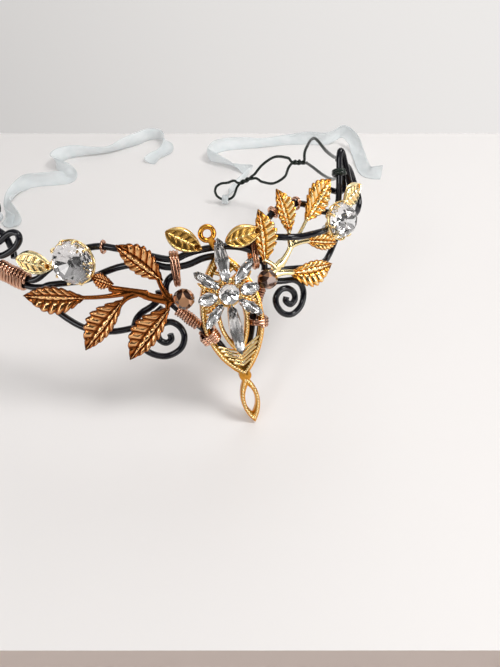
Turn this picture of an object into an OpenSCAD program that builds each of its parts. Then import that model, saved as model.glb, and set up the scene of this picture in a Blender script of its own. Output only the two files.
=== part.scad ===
// Woodland tiara: black craft wire bent into a brow band, with leaf sprays, cut stones, an openwork
// centre piece, and two ribbons tied to the ends of the wire arms. It stands on a table on the tip of
// its centre piece and on the two ribbon knots.
//
// The front is drawn flat, as a pattern that is then bent round the brow. A place on the pattern is
// [u, v, w]: u runs along the band from the front's middle to the viewer's right, v runs up the band
// from the tip of the centre piece, and w stands out from the band towards the viewer.

/* [Wire] */
// Thickness of the black frame wire
wire_d = 2; // [1.8:0.1:2]
// Thickness of the wire of the two arms
arm_wire_d = 1.3; // [1.1:0.1:1.3]
// Thickness of the copper binding wire
copper_d = 0.8; // [0.6:0.1:0.8]

/* [Band] */
// How far the top of the band leans in over the brow
lean = 12; // [10:1:13]
// How far the whole front is tipped back where it stands on its tip
tip_back = 11; // [10:1:12]

/* [Leaves] */
// Thickness of a stamped leaf at its middle
leaf_t = 0.8; // [0.7:0.1:0.9]
// Thickness of a cast leaf bead
leaf_bead_t = 2.6; // [2.2:0.1:2.6]

/* [Stones] */
// Width of the large clear stone on the viewer's left
stone_left_d = 12.4; // [11.5:0.1:12.4]
// Width of the large clear stone on the viewer's right
stone_right_d = 11.2; // [10.5:0.1:11.2]
// Width of the two small brown beads
brown_d = 6.4; // [5.8:0.1:6.6]
// Length of the star's upper petal
petal_top_l = 13.5; // [12:0.5:13.5]
// Length of the star's lower petal
petal_bottom_l = 16.5; // [14:0.5:16.5]
// Length of the two level petals of the star
petal_level = 6; // [5:0.5:6]
// Length of the four slanting petals of the star
petal_slant = 9; // [8:0.5:9]

/* [Centre piece] */
// Thickness of the openwork
plaque_t = 1.8; // [1.6:0.1:1.8]
// Width of the openwork's pointed oval
plaque_w = 19; // [18:0.5:19]

/* [Ribbon] */
// Width that the ribbon is cut to
ribbon_w = 10; // [9:0.5:10]
// Thickness of the ribbon's wall
ribbon_t = 1; // [1:0.1:1.2]

/* [Hidden] */

// Place of the part's origin: the middle of its footprint, seen from the middle of the brow's curve
foot = [15.9, 38.3, 0];

// Which way the band points at each distance from the front's middle: [distance, turn in degrees].
// The left arm is sprung open, so the left side curves less.
TURN_RIGHT = [[0, 0], [15, 9], [30, 19], [45, 29], [60, 39], [75, 51], [90, 63], [105, 76]];
TURN_LEFT = [[0, 0], [15, 9], [30, 19], [45, 27], [60, 32], [75, 35], [90, 38], [105, 42]];
// Depth of the curve in front of the middle of the brow
brow_depth = 71;

// Frame wires: [u, v, w] along each wire
UPPER = [
    [-77, 55.7, 0.3], [-75.9, 55.9, 0.3], [-74.3, 56.5, 0.3], [-71.7, 57.9, 0.3], [-69.6, 59.5, 0.3],
    [-68.3, 61.3, 0.3], [-68.5, 62.8, 0.3], [-70, 63.3, 0.3], [-72.3, 62.6, 0.3], [-75.8, 60.3, 0.3],
    [-79.6, 58.4, 0.3], [-82.6, 57.2, 0.2], [-84.1, 55.7, 0], [-83.4, 54.3, 0], [-81.4, 53.5, 0],
    [-79.4, 52.9, 0],
    [-76.4, 51.92, 0], [-72, 50.46, 0], [-67.4, 48.94, 0], [-64, 49.6, 0], [-58.9, 53.1, 0],
    [-49.8, 58.3, 0], [-41.6, 60.2, 0], [-34.9, 59.6, 0], [-27.2, 57.9, 0], [-19.2, 55.8, 0],
    [-15.4, 55.6, 0], [-11.6, 56.6, 0], [-7, 57.2, 0], [0, 57.2, 0], [6, 56, 0], [10, 54.3, 0],
    [12.8, 53, 0]];
MIDDLE_LEFT = [
    [-72.9, 54.9, -1.2], [-73.5, 56.4, -1.9], [-74.5, 58.5, -2.1], [-75.3, 60.5, -2.1],
    [-76.6, 62.2, -1.9], [-79, 63.4, -1.2], [-82.6, 63, -0.4], [-86, 61.2, 0], [-88.1, 58, 0],
    [-88.2, 54.8, 0], [-86.2, 52.2, 0], [-83, 51.2, 0], [-79.8, 50.72, 0], [-76.4, 49.6, 0],
    [-72, 48.14, 0], [-67.8, 46.76, 0], [-63, 46.9, 0], [-59.8, 47.9, 0], [-52.4, 49.1, 0],
    [-47.1, 50, 0], [-37.9, 53.3, 0], [-31.6, 54.6, 0], [-24.3, 54.7, 0], [-18.6, 53.3, 0],
    [-12.5, 53.3, 0], [-7, 54.6, 0], [-3, 54.8, 0], [1, 54.6, 0]];
LOWER_LEFT = [
    [-66.6, 44, 0], [-64.6, 43.4, 0], [-61.6, 41.8, 0], [-56.4, 38, 0], [-50.8, 35.1, 0],
    [-46, 34.1, 0], [-40.9, 33.9, 0], [-36.5, 34, -1.2], [-32, 34.9, -2.3], [-26.8, 37.8, -2.4],
    [-22.6, 40.4, -2.4]];
UPPER_RIGHT = [
    [9.4, 59.3, 0], [12, 59.1, 0], [15, 60.1, 0], [18, 62.4, 0], [21.6, 64.3, 0],
    [25.5, 64.7, 0], [30.4, 64.4, 0], [36, 62.6, 0], [42.5, 59.2, 0], [47.5, 57.6, 0],
    [51, 58.2, 0.4], [53, 60.6, 0.6], [55.2, 66, 0.6], [56.8, 70, 0.6], [58.2, 73.2, 0.6],
    [59.6, 74.4, 0.6], [61, 73.2, 0.6], [61.8, 70, 0.6], [62.5, 66.8, 0.6], [63.6, 62.5, 0.6],
    [65.2, 58, 0.6], [65.8, 55.4, 0.6]];
MIDDLE_RIGHT = [
    [9.4, 56.9, 0], [12, 56.3, 0.1], [15, 56.5, 0.7], [18, 57, 2.3], [21.4, 56.5, 4.4],
    [26.4, 55.6, 4.9], [32.3, 55, 4.9], [36, 54.6, 4.6], [38.2, 54.3, 3.7], [40, 54, 2.3],
    [41.6, 53.7, 0.9], [43.4, 53.5, 0], [48, 53.2, 0], [54, 52.95, 0], [61, 52.85, 0]];
LOWER_RIGHT = [
    [61, 50.65, 0], [54.6, 50.7, 0], [50.8, 49.4, -0.3], [47.5, 46.6, -0.6], [43.6, 43.9, -0.6],
    [41, 42.9, -0.5], [36.3, 42.6, -0.4], [31, 43.6, -0.6], [25, 44.8, -1.2], [19, 45.7, -1.5],
    [15.8, 46.3, -1.5]];
V_WIRE = [
    [-15.3, 50.7, 0], [-17.6, 50.5, 0], [-19.5, 49, 0], [-20.4, 46.6, 0], [-20.1, 43.8, 0],
    [-18.6, 41.6, 0], [-14.2, 37.2, 0], [-10.2, 33.2, 0], [-7.2, 29.8, 0], [-5.2, 27.2, 0],
    [-3, 23.2, 0], [-1.2, 20.6, 0], [0.5, 19.8, 0], [2.2, 20.8, 0], [4.4, 24.6, 0], [6, 28.6, 0],
    [7.2, 32.8, 0], [8, 35.4, 0], [9.6, 38.8, 0], [12.3, 43.8, 0], [13.6, 46.6, 0],
    [14, 49, 0], [12.9, 50.6, 0], [11.3, 51, 0]];
LOOP_RIGHT = [
    [50.7, 64.3, -1.6], [54.7, 62.7, -1.6], [59.6, 61.2, -1.6], [63, 62.3, -1.6], [63.2, 65, -1.6],
    [66.2, 67.3, -1.6], [70.4, 67.4, -1.6], [73.6, 64.8, -1.5], [75, 61, -1.2], [75, 57.4, -0.6],
    [73.5, 54.2, 0], [70.4, 52.2, 0], [66.8, 51.6, 0], [64.2, 51.7, 0]];
CURL_LEFT = [
    [-22.8, 46.6, 0], [-23.1, 44, 0], [-25.6, 41.9, 0], [-29.5, 39.8, 0], [-31.9, 37, 0],
    [-32.5, 32.8, 0], [-29.3, 27.4, 0], [-23.6, 25.3, 0], [-18.4, 27.2, 0], [-16.4, 31, 0],
    [-17.3, 34.4, 0], [-20, 36.4, 0], [-23, 35.9, 0], [-24.9, 33.6, 0], [-24.6, 31, 0],
    [-22.6, 29.8, 0], [-20.8, 30.8, 0], [-20.9, 32.6, 0]];
CURL_RIGHT = [
    [14.4, 43.5, 0], [20.5, 42.2, 0], [24.6, 41.4, 0], [27.4, 39.2, 0], [28.1, 35.8, 0],
    [26.3, 32.2, 0], [22.4, 30.4, 0], [18.8, 31.6, 0], [16.7, 34.6, 0], [16.6, 37.6, 0],
    [18.9, 39.6, 0], [21.9, 39.3, 0], [24, 37.2, 0], [23.9, 34.8, 0], [21.9, 33.9, 0],
    [20.3, 35.5, 0], [20.8, 36.8, 0]];

// Arms: [x, y, z, half the gap between the two strands, turn of the strands about each other]
ARM_RIGHT = [
    [45.2, -26.8, 60.3, 2.2, 0], [50.2, -19.6, 57, 3.5, 0], [54.2, -8, 49.4, 4.3, 0],
    [58, 8, 43.5, 5.2, 0], [59.5, 23, 41, 6.3, 0], [60.8, 32.5, 36, 4.2, 0],
    [61.5, 36.5, 30.5, 0.8, 0], [59.5, 39.8, 29, 0.76, 270],
    [57.4, 42.6, 27.7, 0.8, 540], [55.6, 44.8, 24.8, 4.8, 540], [51.4, 49.2, 21.6, 6.8, 540],
    [46.6, 53, 18.9, 4.4, 540], [42.8, 55.7, 16.3, 0.8, 540], [39.5, 57.8, 13.8, 0.76, 810],
    [36.1, 59.6, 11.4, 0.8, 1080], [34, 60.6, 9, 4.2, 1080], [31.4, 61.7, 7.3, 4.7, 1080],
    [28.2, 62.9, 7, 4.4, 1080], [25.8, 63.9, 7, 2.6, 1080], [25, 64.2, 7, 0, 1080]];
ARM_LEFT = [
    [-72.8, -14.9, 48, 3.1, 0], [-78, -3, 46, 4.3, 0], [-84.5, 11, 43, 5.2, 0], [-89, 25, 39, 6.3, 0],
    [-91, 34, 33.5, 4.2, 0], [-91.6, 38.5, 28.6, 0.8, 0], [-91.6, 42.3, 27, 0.76, 270],
    [-91.4, 46, 25.5, 0.8, 540], [-91, 49.5, 23, 4.8, 540], [-90, 56.5, 19.6, 6.8, 540],
    [-88.6, 63, 16.8, 4.4, 540], [-87.4, 66.8, 14, 0.8, 540], [-86.2, 70.4, 12.2, 0.76, 810],
    [-85, 73.8, 10.8, 0.8, 1080], [-84.2, 76, 9, 4.2, 1080], [-83.2, 78.7, 7.3, 4.7, 1080],
    [-82.2, 81.9, 7, 4.4, 1080], [-81.4, 84.3, 7, 2.6, 1080], [-81.1, 85.1, 7, 0, 1080]];
TWISTED_STEPS = 4;
PLAIN_STEPS = 2;

// Leaves of the two sprays: [u and v of the leaf's foot, u and v of its tip, how wide it is to the
// left and to the right of its midrib as it points, w at its foot and at its tip]
LEAVES_LEFT = [
    [-20.4, 50.2, -33.4, 61.2, 3, 5.6, 3.1, 3.6],
    [-36, 49.9, -43.4, 52, 2.6, 2.4, 3.1, 2.2],
    [-45.7, 45.7, -67.4, 44.9, 5.4, 3.6, 3.1, 3.4],
    [-33.4, 45.4, -48.2, 28.8, 2.8, 5.8, 3.1, 3.4],
    [-19.2, 42.4, -33.9, 26.2, 3, 6, 3.1, 3.6]];
LEAVES_RIGHT = [
    [12.9, 49.9, 12.5, 66.4, 2.6, 5.6, 2.6, 4.2],
    [23.8, 56.6, 20.3, 70.7, 2.6, 4.6, 2.6, 3.6],
    [30.8, 58.8, 44.4, 68.6, 6.2, 3.8, 2.6, 3.8],
    [29.6, 53.2, 46.8, 47.6, 3.3, 2.7, 2.2, 1.1],
    [21.4, 45, 40.8, 42.3, 2.8, 5.8, 2.6, 2.4]];
// Stems of the two sprays: [u and v where the stem starts, u and v where it ends, width there, width here]
STEMS_LEFT = [
    [-18.6, 44.3, -27, 46.5, 4.2, 3],
    [-26, 46.4, -37.4, 48.6, 3.2, 2.2],
    [-31, 47.5, -47.6, 45.6, 2.4, 1.4],
    [-29.6, 46.8, -34.6, 44, 2.6, 1.8],
    [-19.4, 45, -21.8, 51.4, 3, 1.8],
    [-18.9, 44.2, -20.2, 41.4, 2.6, 1.8],
    [-35.4, 48.2, -38.2, 50.6, 2.2, 1.4]];
STEMS_RIGHT = [
    [15.9, 46.7, 19.4, 49, 4.2, 3.4],
    [18.6, 48.4, 24.4, 54, 3.4, 2.4],
    [23.4, 53, 23.6, 58, 2.2, 1.5],
    [23.4, 53, 31.8, 59.6, 2.2, 1.3],
    [23.2, 53, 31.4, 52.7, 2.2, 1.6],
    [17, 47.6, 12.7, 51.4, 2, 1.8],
    [15.9, 45.9, 23, 44.8, 3, 2]];
leaf_teeth = 5;
// Each stem lies a little higher than the one that it grows from
stem_step = 0.13;
leaf_w_left = 3.1;
leaf_w_right = 2.6;

// Ribbons on the table: [x, y, height of the ribbon's lower edge, roll of the ribbon]
RIBBON_LEFT = [
    [-78.6, 79, 0, 60], [-76, 75, 0, 20], [-75.2, 78, 0, -20], [-76.6, 88, 0, -60],
    [-77.2, 98, 0, -30], [-75, 108, 0, 10], [-69.5, 112.4, 0, 60], [-62, 112, 0, 80],
    [-54, 111.6, 0, 70], [-47.5, 113, 0, 30], [-45.5, 118, 0, -20], [-49, 124.5, 0, -70],
    [-52.6, 131, 0, -100], [-49.6, 137.2, 0, -110], [-42, 139, 0, -90], [-32, 138.6, 0, -60],
    [-21, 138.6, 0, -50], [-12, 141.4, 0, -80], [-3.6, 145.2, 0, -95], [4.6, 149.6, 0, -90],
    [11.4, 147.4, 0, -75], [13.6, 139.4, 0, -45], [10.6, 131.2, 0, -20], [4, 126.2, 0, -10],
    [-1, 119.6, 0, -20]];
RIBBON_RIGHT = [
    [32.2, 64.9, 0, -60], [40.6, 74, 0, -70], [48, 83, 0, -60], [51.6, 91.6, 0, -30],
    [46.8, 99, 0, 20], [38.4, 104.6, 0, 60], [32.6, 112, 0, 85], [37.2, 120.8, 0, 80],
    [47.6, 125.4, 0, 60], [60, 124.8, 0, 40], [72.6, 123.2, 0, 20], [86, 122.6, 0, 30],
    [98.6, 118.6, 0, 60], [108.6, 112.6, 0.5, 85], [118.4, 111.8, 4, 80], [122.6, 103, 3, 50],
    [121, 92, 0, 20], [117.4, 80, 0, 10], [115.6, 69, 0, 30], [121.6, 64.4, 0, 60]];
// Section of the curled ribbon: [place across, rise] as shares of the width that it is cut to
RIBBON_SECTION = [[-0.37, 0.16], [-0.22, 0.02], [0.22, 0.02], [0.37, 0.16]];

// Star of the centre piece: its middle on the pattern, and its turn in the band's face
star_at = [-0.9, 44.2];
star_turn = 4;
// Petals: distance from the star's middle to their inner tips, widths, and height of their backs
petal_start = 3.4;
petal_wide = 4.2;
petal_narrow = 3.4;
petal_floor = 4.25;
// Openwork plate: height of its back, half the oval's height, width of its rim
plaque_back = 2.25;
plaque_half_h = 20.5;
plaque_rim = 1.7;
// The oval's middle, below the star's middle
oval_drop = 7.7;
// The lowest point of the end ring, below the star's middle
ring_reach = 45.28;

// Clearance between a coil and the wire in it
coil_gap = 0.2;
// How far the strand in a ribbon knot hangs below the straight line between its rows
knot_sag = 0.1;

// Curves

function unit(v) = v / norm(v);

function spline(p, i, t) =
    let (a = p[max(i - 1, 0)], b = p[i], c = p[i + 1], d = p[min(i + 2, len(p) - 1)])
    0.5 * (2 * b + (c - a) * t + (2 * a - 5 * b + 4 * c - d) * t * t
        + (3 * b - a - 3 * c + d) * t * t * t);

function smooth(p, steps) = [
    for (i = [0:len(p) - 2], k = [0:steps - 1]) spline(p, i, k / steps),
    p[len(p) - 1]];

function tangents(p) = [
    for (i = [0:len(p) - 1]) unit(p[min(i + 1, len(p) - 1)] - p[max(i - 1, 0)])];

// Band: the flat pattern bent round the brow

function plan(turns) = [
    for (s = 0, x = 0, y = 0; s <= 110;
        x = x + cos(lookup(s + 0.5, turns)), y = y + sin(lookup(s + 0.5, turns)), s = s + 1)
    [s, x, y]];
PLAN_RIGHT = plan(TURN_RIGHT);
PLAN_LEFT = plan(TURN_LEFT);
ACROSS_RIGHT = [for (p = PLAN_RIGHT) [p[0], p[1]]];
BACK_RIGHT = [for (p = PLAN_RIGHT) [p[0], p[2]]];
ACROSS_LEFT = [for (p = PLAN_LEFT) [p[0], p[1]]];
BACK_LEFT = [for (p = PLAN_LEFT) [p[0], p[2]]];

function turn_at(u) = u < 0 ? -lookup(-u, TURN_LEFT) : lookup(u, TURN_RIGHT);
function plan_at(u) = u < 0
    ? [-lookup(-u, ACROSS_LEFT), lookup(-u, BACK_LEFT)]
    : [lookup(u, ACROSS_RIGHT), lookup(u, BACK_RIGHT)];

function tipped(p) = [
    p[0], p[1] * cos(tip_back) + p[2] * sin(tip_back), p[2] * cos(tip_back) - p[1] * sin(tip_back)];

function band(p) =
    let (q = plan_at(p[0]), h = turn_at(p[0]), out = p[2] * cos(lean) - p[1] * sin(lean))
    tipped([q[0] + sin(h) * out, q[1] - cos(h) * out, p[1] * cos(lean) + p[2] * sin(lean)])
    - [0, brow_depth, 0];

// The three directions of the pattern at u: along, up and out
function band_along(u) = tipped([cos(turn_at(u)), sin(turn_at(u)), 0]);
function band_out(u) =
    tipped([sin(turn_at(u)) * cos(lean), -cos(turn_at(u)) * cos(lean), sin(lean)]);
function band_up(u) = cross(band_out(u), band_along(u));

module on_band(p, spin = 0) {
    a = band_along(p[0]);
    b = band_up(p[0]);
    c = band_out(p[0]);
    o = band(p);
    multmatrix([[a[0], b[0], c[0], o[0]], [a[1], b[1], c[1], o[1]], [a[2], b[2], c[2], o[2]]])
        rotate([0, 0, spin]) children();
}

// Lofts: a solid through rings with the same even number of points, in order along its length

function quad(a, b, c, d) = [[a, d, c], [a, c, b]];

function side_faces(count, n, start = 0) = [
    for (i = [0:count - 2], k = [0:n - 1],
        f = quad(start + i * n + k, start + i * n + (k + 1) % n,
            start + (i + 1) * n + (k + 1) % n, start + (i + 1) * n + k)) f];

function cap_faces(n, start, far) = [
    for (k = [0:n / 2 - 2],
        f = [[k, k + 1, n - 2 - k], [k, n - 2 - k, n - 1 - k]])
    far ? [start + f[2], start + f[1], start + f[0]] : [start + f[0], start + f[1], start + f[2]]];

module loft(rings) {
    n = len(rings[0]);
    count = len(rings);
    polyhedron(
        points = [for (r = rings, p = r) p],
        faces = concat(side_faces(count, n), cap_faces(n, 0, false), cap_faces(n, (count - 1) * n, true)));
}

function ring_of(p, t, ref, section) =
    let (s = unit(cross(ref, t)), r = cross(t, s)) [for (q = section) p + q[0] * s + q[1] * r];

function round_section(d, sides) = [
    for (k = [0:sides - 1]) d / 2 * [cos(360 * k / sides), sin(360 * k / sides)]];

function swept(path, ref, section) =
    let (t = tangents(path)) [for (i = [0:len(path) - 1]) ring_of(path[i], t[i], ref, section)];

function bent(rings) = [for (r = rings) [for (p = r) band(p)]];

module black() { color([0.07, 0.07, 0.09]) children(); }
module dark_green() { color([0.12, 0.18, 0.12]) children(); }
module copper() { color([0.78, 0.5, 0.36]) children(); }
module gold() { color([0.88, 0.66, 0.24]) children(); }
module bronze() { color([0.7, 0.4, 0.14]) children(); }
module crystal() { color([0.86, 0.88, 0.92, 0.8]) children(); }

module frame_wire(rows, steps = 2) {
    black() loft(bent(swept(smooth(rows, steps), [0, 0, 1], round_section(wire_d, 6))));
}

// Arms: two strands that part into cells, twist together, and join in a round end loop

function arm_steps(rows, i) = rows[i][4] == rows[i + 1][4] ? PLAIN_STEPS : TWISTED_STEPS;

function arm_rows(rows) = [
    for (i = [0:len(rows) - 2], k = [0:arm_steps(rows, i) - 1]) spline(rows, i, k / arm_steps(rows, i))];

function flat_out(t) = unit(cross(t, [0, 0, 1]));

function arm_strand(rows, side) = [
    for (i = [0:len(rows) - 1])
        let (r = rows[i], q = rows[min(i + 1, len(rows) - 1)], p = rows[max(i - 1, 0)],
            out = flat_out([q[0] - p[0], q[1] - p[1], 0]))
        [r[0], r[1], r[2]] + side * r[3] * (cos(r[4]) * [0, 0, 1] + sin(r[4]) * out)];

function reversed(p) = [for (i = [len(p) - 1:-1:0]) p[i]];

module arm(rows) {
    fine = arm_rows(rows);
    end = rows[len(rows) - 1];
    path = concat(arm_strand(fine, 1), [[end[0], end[1], end[2]]], reversed(arm_strand(fine, -1)));
    t = tangents(path);
    ref = flat_out([end[0] - rows[0][0], end[1] - rows[0][1], 0]);
    dark_green() loft([
        for (i = [0:len(path) - 1]) ring_of(path[i], t[i], ref, round_section(arm_wire_d, 6))]);
}

// Coils: turns of copper side by side, as a ridged sleeve with a bore for the wire

// A straight sleeve on the wire between two places of the pattern
module coil(a, b, turns, wire = wire_d, turn_d = copper_d) {
    p = band(a);
    q = band(b);
    long = norm(q - p);
    pitch = long / turns;
    bore = wire / 2 + coil_gap;
    d = q - p;
    translate(p) rotate([0, acos(d[2] / long), atan2(d[1], d[0])]) rotate_extrude($fn = 48) {
        translate([bore, pitch / 2 - turn_d / 4]) square([turn_d / 2, long - pitch + turn_d / 2]);
        for (k = [0:turns - 1])
            translate([bore + turn_d / 2, (k + 0.5) * pitch]) circle(d = turn_d, $fn = 24);
    }
}

function toward(c) = abs(c) < 0.001 ? 0 : sign(c);

// A rounded slot: half_a across, half_b deep, with its corners rounded to the bend of the wire
function slot_section(half_a, half_b, sides) =
    let (r = min(half_b, 1.5))
    [for (k = [0:sides - 1])
        let (c = cos(360 * (k + 0.5) / sides), d = sin(360 * (k + 0.5) / sides))
        [(half_a - r) * toward(c) + r * c, (half_b - r) * toward(d) + r * d]];

// An oval sleeve round a bundle of wires. half_a is half the bundle's width in the band's face,
// half_b half its depth.
module oval_coil(a, b, half_a, half_b, turns, sides = 14) {
    pitch = norm(b - a) / turns;
    ridge = copper_d;
    valley = 0.45 * copper_d;
    outer_rows = [
        for (k = [0:2 * turns]) [a + (b - a) * k / (2 * turns), k % 2 == 1 ? ridge : valley]];
    t = unit(b - a);
    outer = [for (r = outer_rows)
        ring_of(r[0], t, [0, 0, 1], slot_section(half_a + r[1], half_b + r[1], sides))];
    inner = [for (p = [a, b]) ring_of(p, t, [0, 0, 1], slot_section(half_a, half_b, sides))];
    rings = bent(concat(outer, inner));
    n_outer = len(outer);
    last = (n_outer - 1) * sides;
    bore = n_outer * sides;
    polyhedron(
        points = [for (r = rings, p = r) p],
        faces = concat(
            side_faces(n_outer, sides),
            [for (f = side_faces(2, sides, bore)) [f[2], f[1], f[0]]],
            [for (k = [0:sides - 1], f = quad(k, bore + k, bore + (k + 1) % sides, (k + 1) % sides)) f],
            [for (k = [0:sides - 1],
                f = quad(last + k, last + (k + 1) % sides, bore + sides + (k + 1) % sides,
                    bore + sides + k)) f]));
}

// Leaves

// A stamped leaf: toothed edge, raised midrib, and a rib to every tooth
module stamped_leaf(row) {
    foot_at = [row[0], row[1]];
    span = [row[2], row[3]] - foot_at;
    d = unit(span);
    side = [-d[1], d[0]];
    stations = 2 * leaf_teeth + 1;
    rings = [for (i = [0:stations])
        let (s = i / stations, tooth = i % 2 == 1, swell = max(0.09, sin(180 * pow(s, 1.05))),
            left = row[4] * swell * (tooth ? 1 : 0.82), right = row[5] * swell * (tooth ? 1 : 0.82),
            rise = leaf_t * (tooth ? 1 : 0.6), ridge = i % stations == 0 ? rise / 2 + 0.05 : leaf_t * 0.9,
            cup = 0.5 * sin(180 * s), w = row[6] + (row[7] - row[6]) * s)
        [for (q = [
                [left, cup - 0.3], [0, -0.3], [-right, cup - 0.3], [-right, cup + 0.15],
                [-right / 2, (rise + cup) / 2], [0, ridge], [left / 2, (rise + cup) / 2],
                [left, cup + 0.15]])
            let (at = foot_at + span * s + side * q[0]) [at[0], at[1], w + q[1]]]];
    loft(bent([for (r = rings) reversed(r)]));
}

module stem(row, w) {
    a = [row[0], row[1], w];
    b = [row[2], row[3], w];
    half = [row[4] / 2, row[5] / 2];
    section = [[-1, -0.25], [1, -0.25], [1, 0.2], [0.5, 0.55], [-0.5, 0.55], [-1, 0.2]];
    t = unit(b - a);
    loft(bent([
        for (k = [0:3])
            ring_of(a + (b - a) * k / 3, t, [0, 0, 1],
                [for (q = section) [q[0] * (half[0] + (half[1] - half[0]) * k / 3), q[1]]])]));
}

module branch(leaves, stems, w) {
    for (row = leaves) stamped_leaf(row);
    for (k = [0:len(stems) - 1]) stem(stems[k], w + stem_step * (k % 3));
}

// A cast leaf bead: a pointed oval with a raised rim, a sunk field and a midrib
module leaf_bead(at, spin, long, wide) {
    stations = 12;
    rings = [for (i = [0:stations])
        let (s = i / stations, half = max(0.3, wide / 2 * pow(sin(180 * pow(s, 0.85)), 0.8)),
            body = leaf_bead_t * (0.45 + 0.55 * sin(180 * s)))
        [for (q = [
                [-0.6, -body / 2], [0.6, -body / 2], [1, -body * 0.1], [0.86, body * 0.42],
                [0.66, body * 0.26], [0.14, body * 0.3], [0, body * 0.5], [-0.14, body * 0.3],
                [-0.66, body * 0.26], [-0.86, body * 0.42], [-1, -body * 0.1], [-0.9, -body * 0.3]])
            [long * (s - 0.5), q[0] * half, q[1]]]];
    on_band(at, spin) loft(rings);
}

// Stones

// Cut rings: [radius, height, turn in ring steps]
function cut_ring(r, z, turn, sides) = [
    for (k = [0:sides - 1]) [r * cos(360 * (k + turn) / sides), r * sin(360 * (k + turn) / sides), z]];

module round_cut(d, top, bottom, sides = 8) {
    loft([
        cut_ring(d * 0.16, -bottom, 0, sides),
        cut_ring(d * 0.36, -bottom * 0.5, 0.5, sides),
        cut_ring(d * 0.5, -0.3, 0, sides),
        cut_ring(d * 0.5, 0.3, 0, sides),
        cut_ring(d * 0.4, top * 0.62, 0.5, sides),
        cut_ring(d * 0.27, top, 0, sides)]);
}

module round_bead(d, sides = 10) {
    loft([for (r = [[0.3, -0.46], [0.44, -0.26], [0.5, 0], [0.44, 0.26], [0.3, 0.46]])
        cut_ring(r[0] * d, r[1] * d, r[1] * 2, sides)]);
}

// A petal: a pointed oval cut with a table, along X from its inner tip
function petal_ring(long, wide, z, share) = [
    for (k = [0:9])
        let (t = 360 * k / 10, c = cos(t), s = sin(t))
        [long / 2 + share * long / 2 * sign(c) * pow(abs(c), 0.8),
            share * wide / 2 * sign(s) * pow(abs(s), 1.25), z]];

module petal(turn, long, wide) {
    crystal() on_band([star_at[0], star_at[1], 0], star_turn + turn)
        translate([petal_start, 0, petal_floor]) loft([
            petal_ring(long, wide, 0, 0.5),
            petal_ring(long, wide, 1, 1),
            petal_ring(long, wide, 1.4, 1),
            petal_ring(long, wide, 2.9, 0.5)]);
}
module setting(at, d) {
    gold() on_band(at) {
        rotate_extrude($fn = 48) polygon([
            [1, 0], [2.4, 0], [d / 2 - 0.9, 2.2], [d / 2 + 0.3, 3.2], [d / 2 - 0.2, 3.4],
            [d / 2 - 1.6, 2.7], [2.2, 0.7], [1, 0.6]]);
    }
}

// Centre piece

module pointed_oval(half_w, half_h) {
    r = (half_h * half_h + half_w * half_w) / (2 * half_w);
    intersection() {
        translate([r - half_w, 0]) circle(r, $fn = 96);
        translate([half_w - r, 0]) circle(r, $fn = 96);
    }
}

module oval_frame(half_w, half_h, rim) {
    difference() {
        pointed_oval(half_w, half_h);
        pointed_oval(half_w - rim, half_h - rim * half_h / half_w * 0.9);
    }
}

// The field between the rim and the inner frame: rungs that slant down to the middle
module rungs() {
    intersection() {
        difference() {
            pointed_oval(plaque_w / 2 - 0.4, plaque_half_h - 1);
            pointed_oval(plaque_w / 2 - 5.2, plaque_half_h - 8.6);
        }
        for (side = [0, 1], k = [-4, 0, 1, 2, 3, 4, 5])
            mirror([side, 0]) translate([0, k * 3.1 - 3]) rotate([0, 0, 28]) square([12, 1]);
    }
}

module plaque_outline() {
    translate([0, -oval_drop]) {
        oval_frame(plaque_w / 2, plaque_half_h, plaque_rim);
        oval_frame(plaque_w / 2 - 4.7, plaque_half_h - 7.6, 1.2);
        rungs();
        // Veins of the long leaf under the lower petal
        translate([0, -4.4]) pointed_oval(1.7, 10.4);
    }
    circle(4.4, $fn = 48);
    // Leaves fanned out behind the star
    for (turn = [-30, 30, 90, 150, 210])
        rotate([0, 0, turn]) translate([5, 0]) rotate([0, 0, 90]) pointed_oval(1.3, 4.4);
    // Collar and end ring
    translate([0, -oval_drop - plaque_half_h + 0.2]) circle(1.9, $fn = 48);
    translate([0, -(ring_reach + oval_drop + plaque_half_h) / 2])
        oval_frame(3, (ring_reach - oval_drop - plaque_half_h) / 2, 1.3);
    // Neck of the eyelet
    translate([0.3, 11.8]) rotate([0, 0, 24]) translate([-1, 0]) square([2, 5.4]);
}

module centre_plaque() {
    gold() on_band([star_at[0], star_at[1], plaque_back], star_turn) {
        linear_extrude(plaque_t) plaque_outline();
        translate([-2.2, 18.2, plaque_t / 2])
            rotate_extrude($fn = 48) translate([1.9, 0]) circle(0.75, $fn = 24);
    }
}

// Ribbons

function ribbon_section() = concat(
    [for (q = RIBBON_SECTION) [q[0] * ribbon_w, q[1] * ribbon_w - ribbon_t / 2]],
    [for (i = [len(RIBBON_SECTION) - 1:-1:0])
        let (q = RIBBON_SECTION[i]) [q[0] * ribbon_w, q[1] * ribbon_w + ribbon_t / 2]]);

function turned(q, angle) = [
    q[0] * cos(angle) - q[1] * sin(angle), q[0] * sin(angle) + q[1] * cos(angle)];

module ribbon(rows) {
    fine = smooth(rows, 2);
    t = tangents([for (r = fine) [r[0], r[1], 0]]);
    color([0.86, 0.92, 0.95]) loft([
        for (i = [0:len(fine) - 1])
            let (section = [for (q = ribbon_section()) turned(q, fine[i][3])],
                low = min([for (q = section) q[1]]))
            ring_of([fine[i][0], fine[i][1], max(0, fine[i][2]) - low], t[i], [0, 0, 1], section)]);
}

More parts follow.
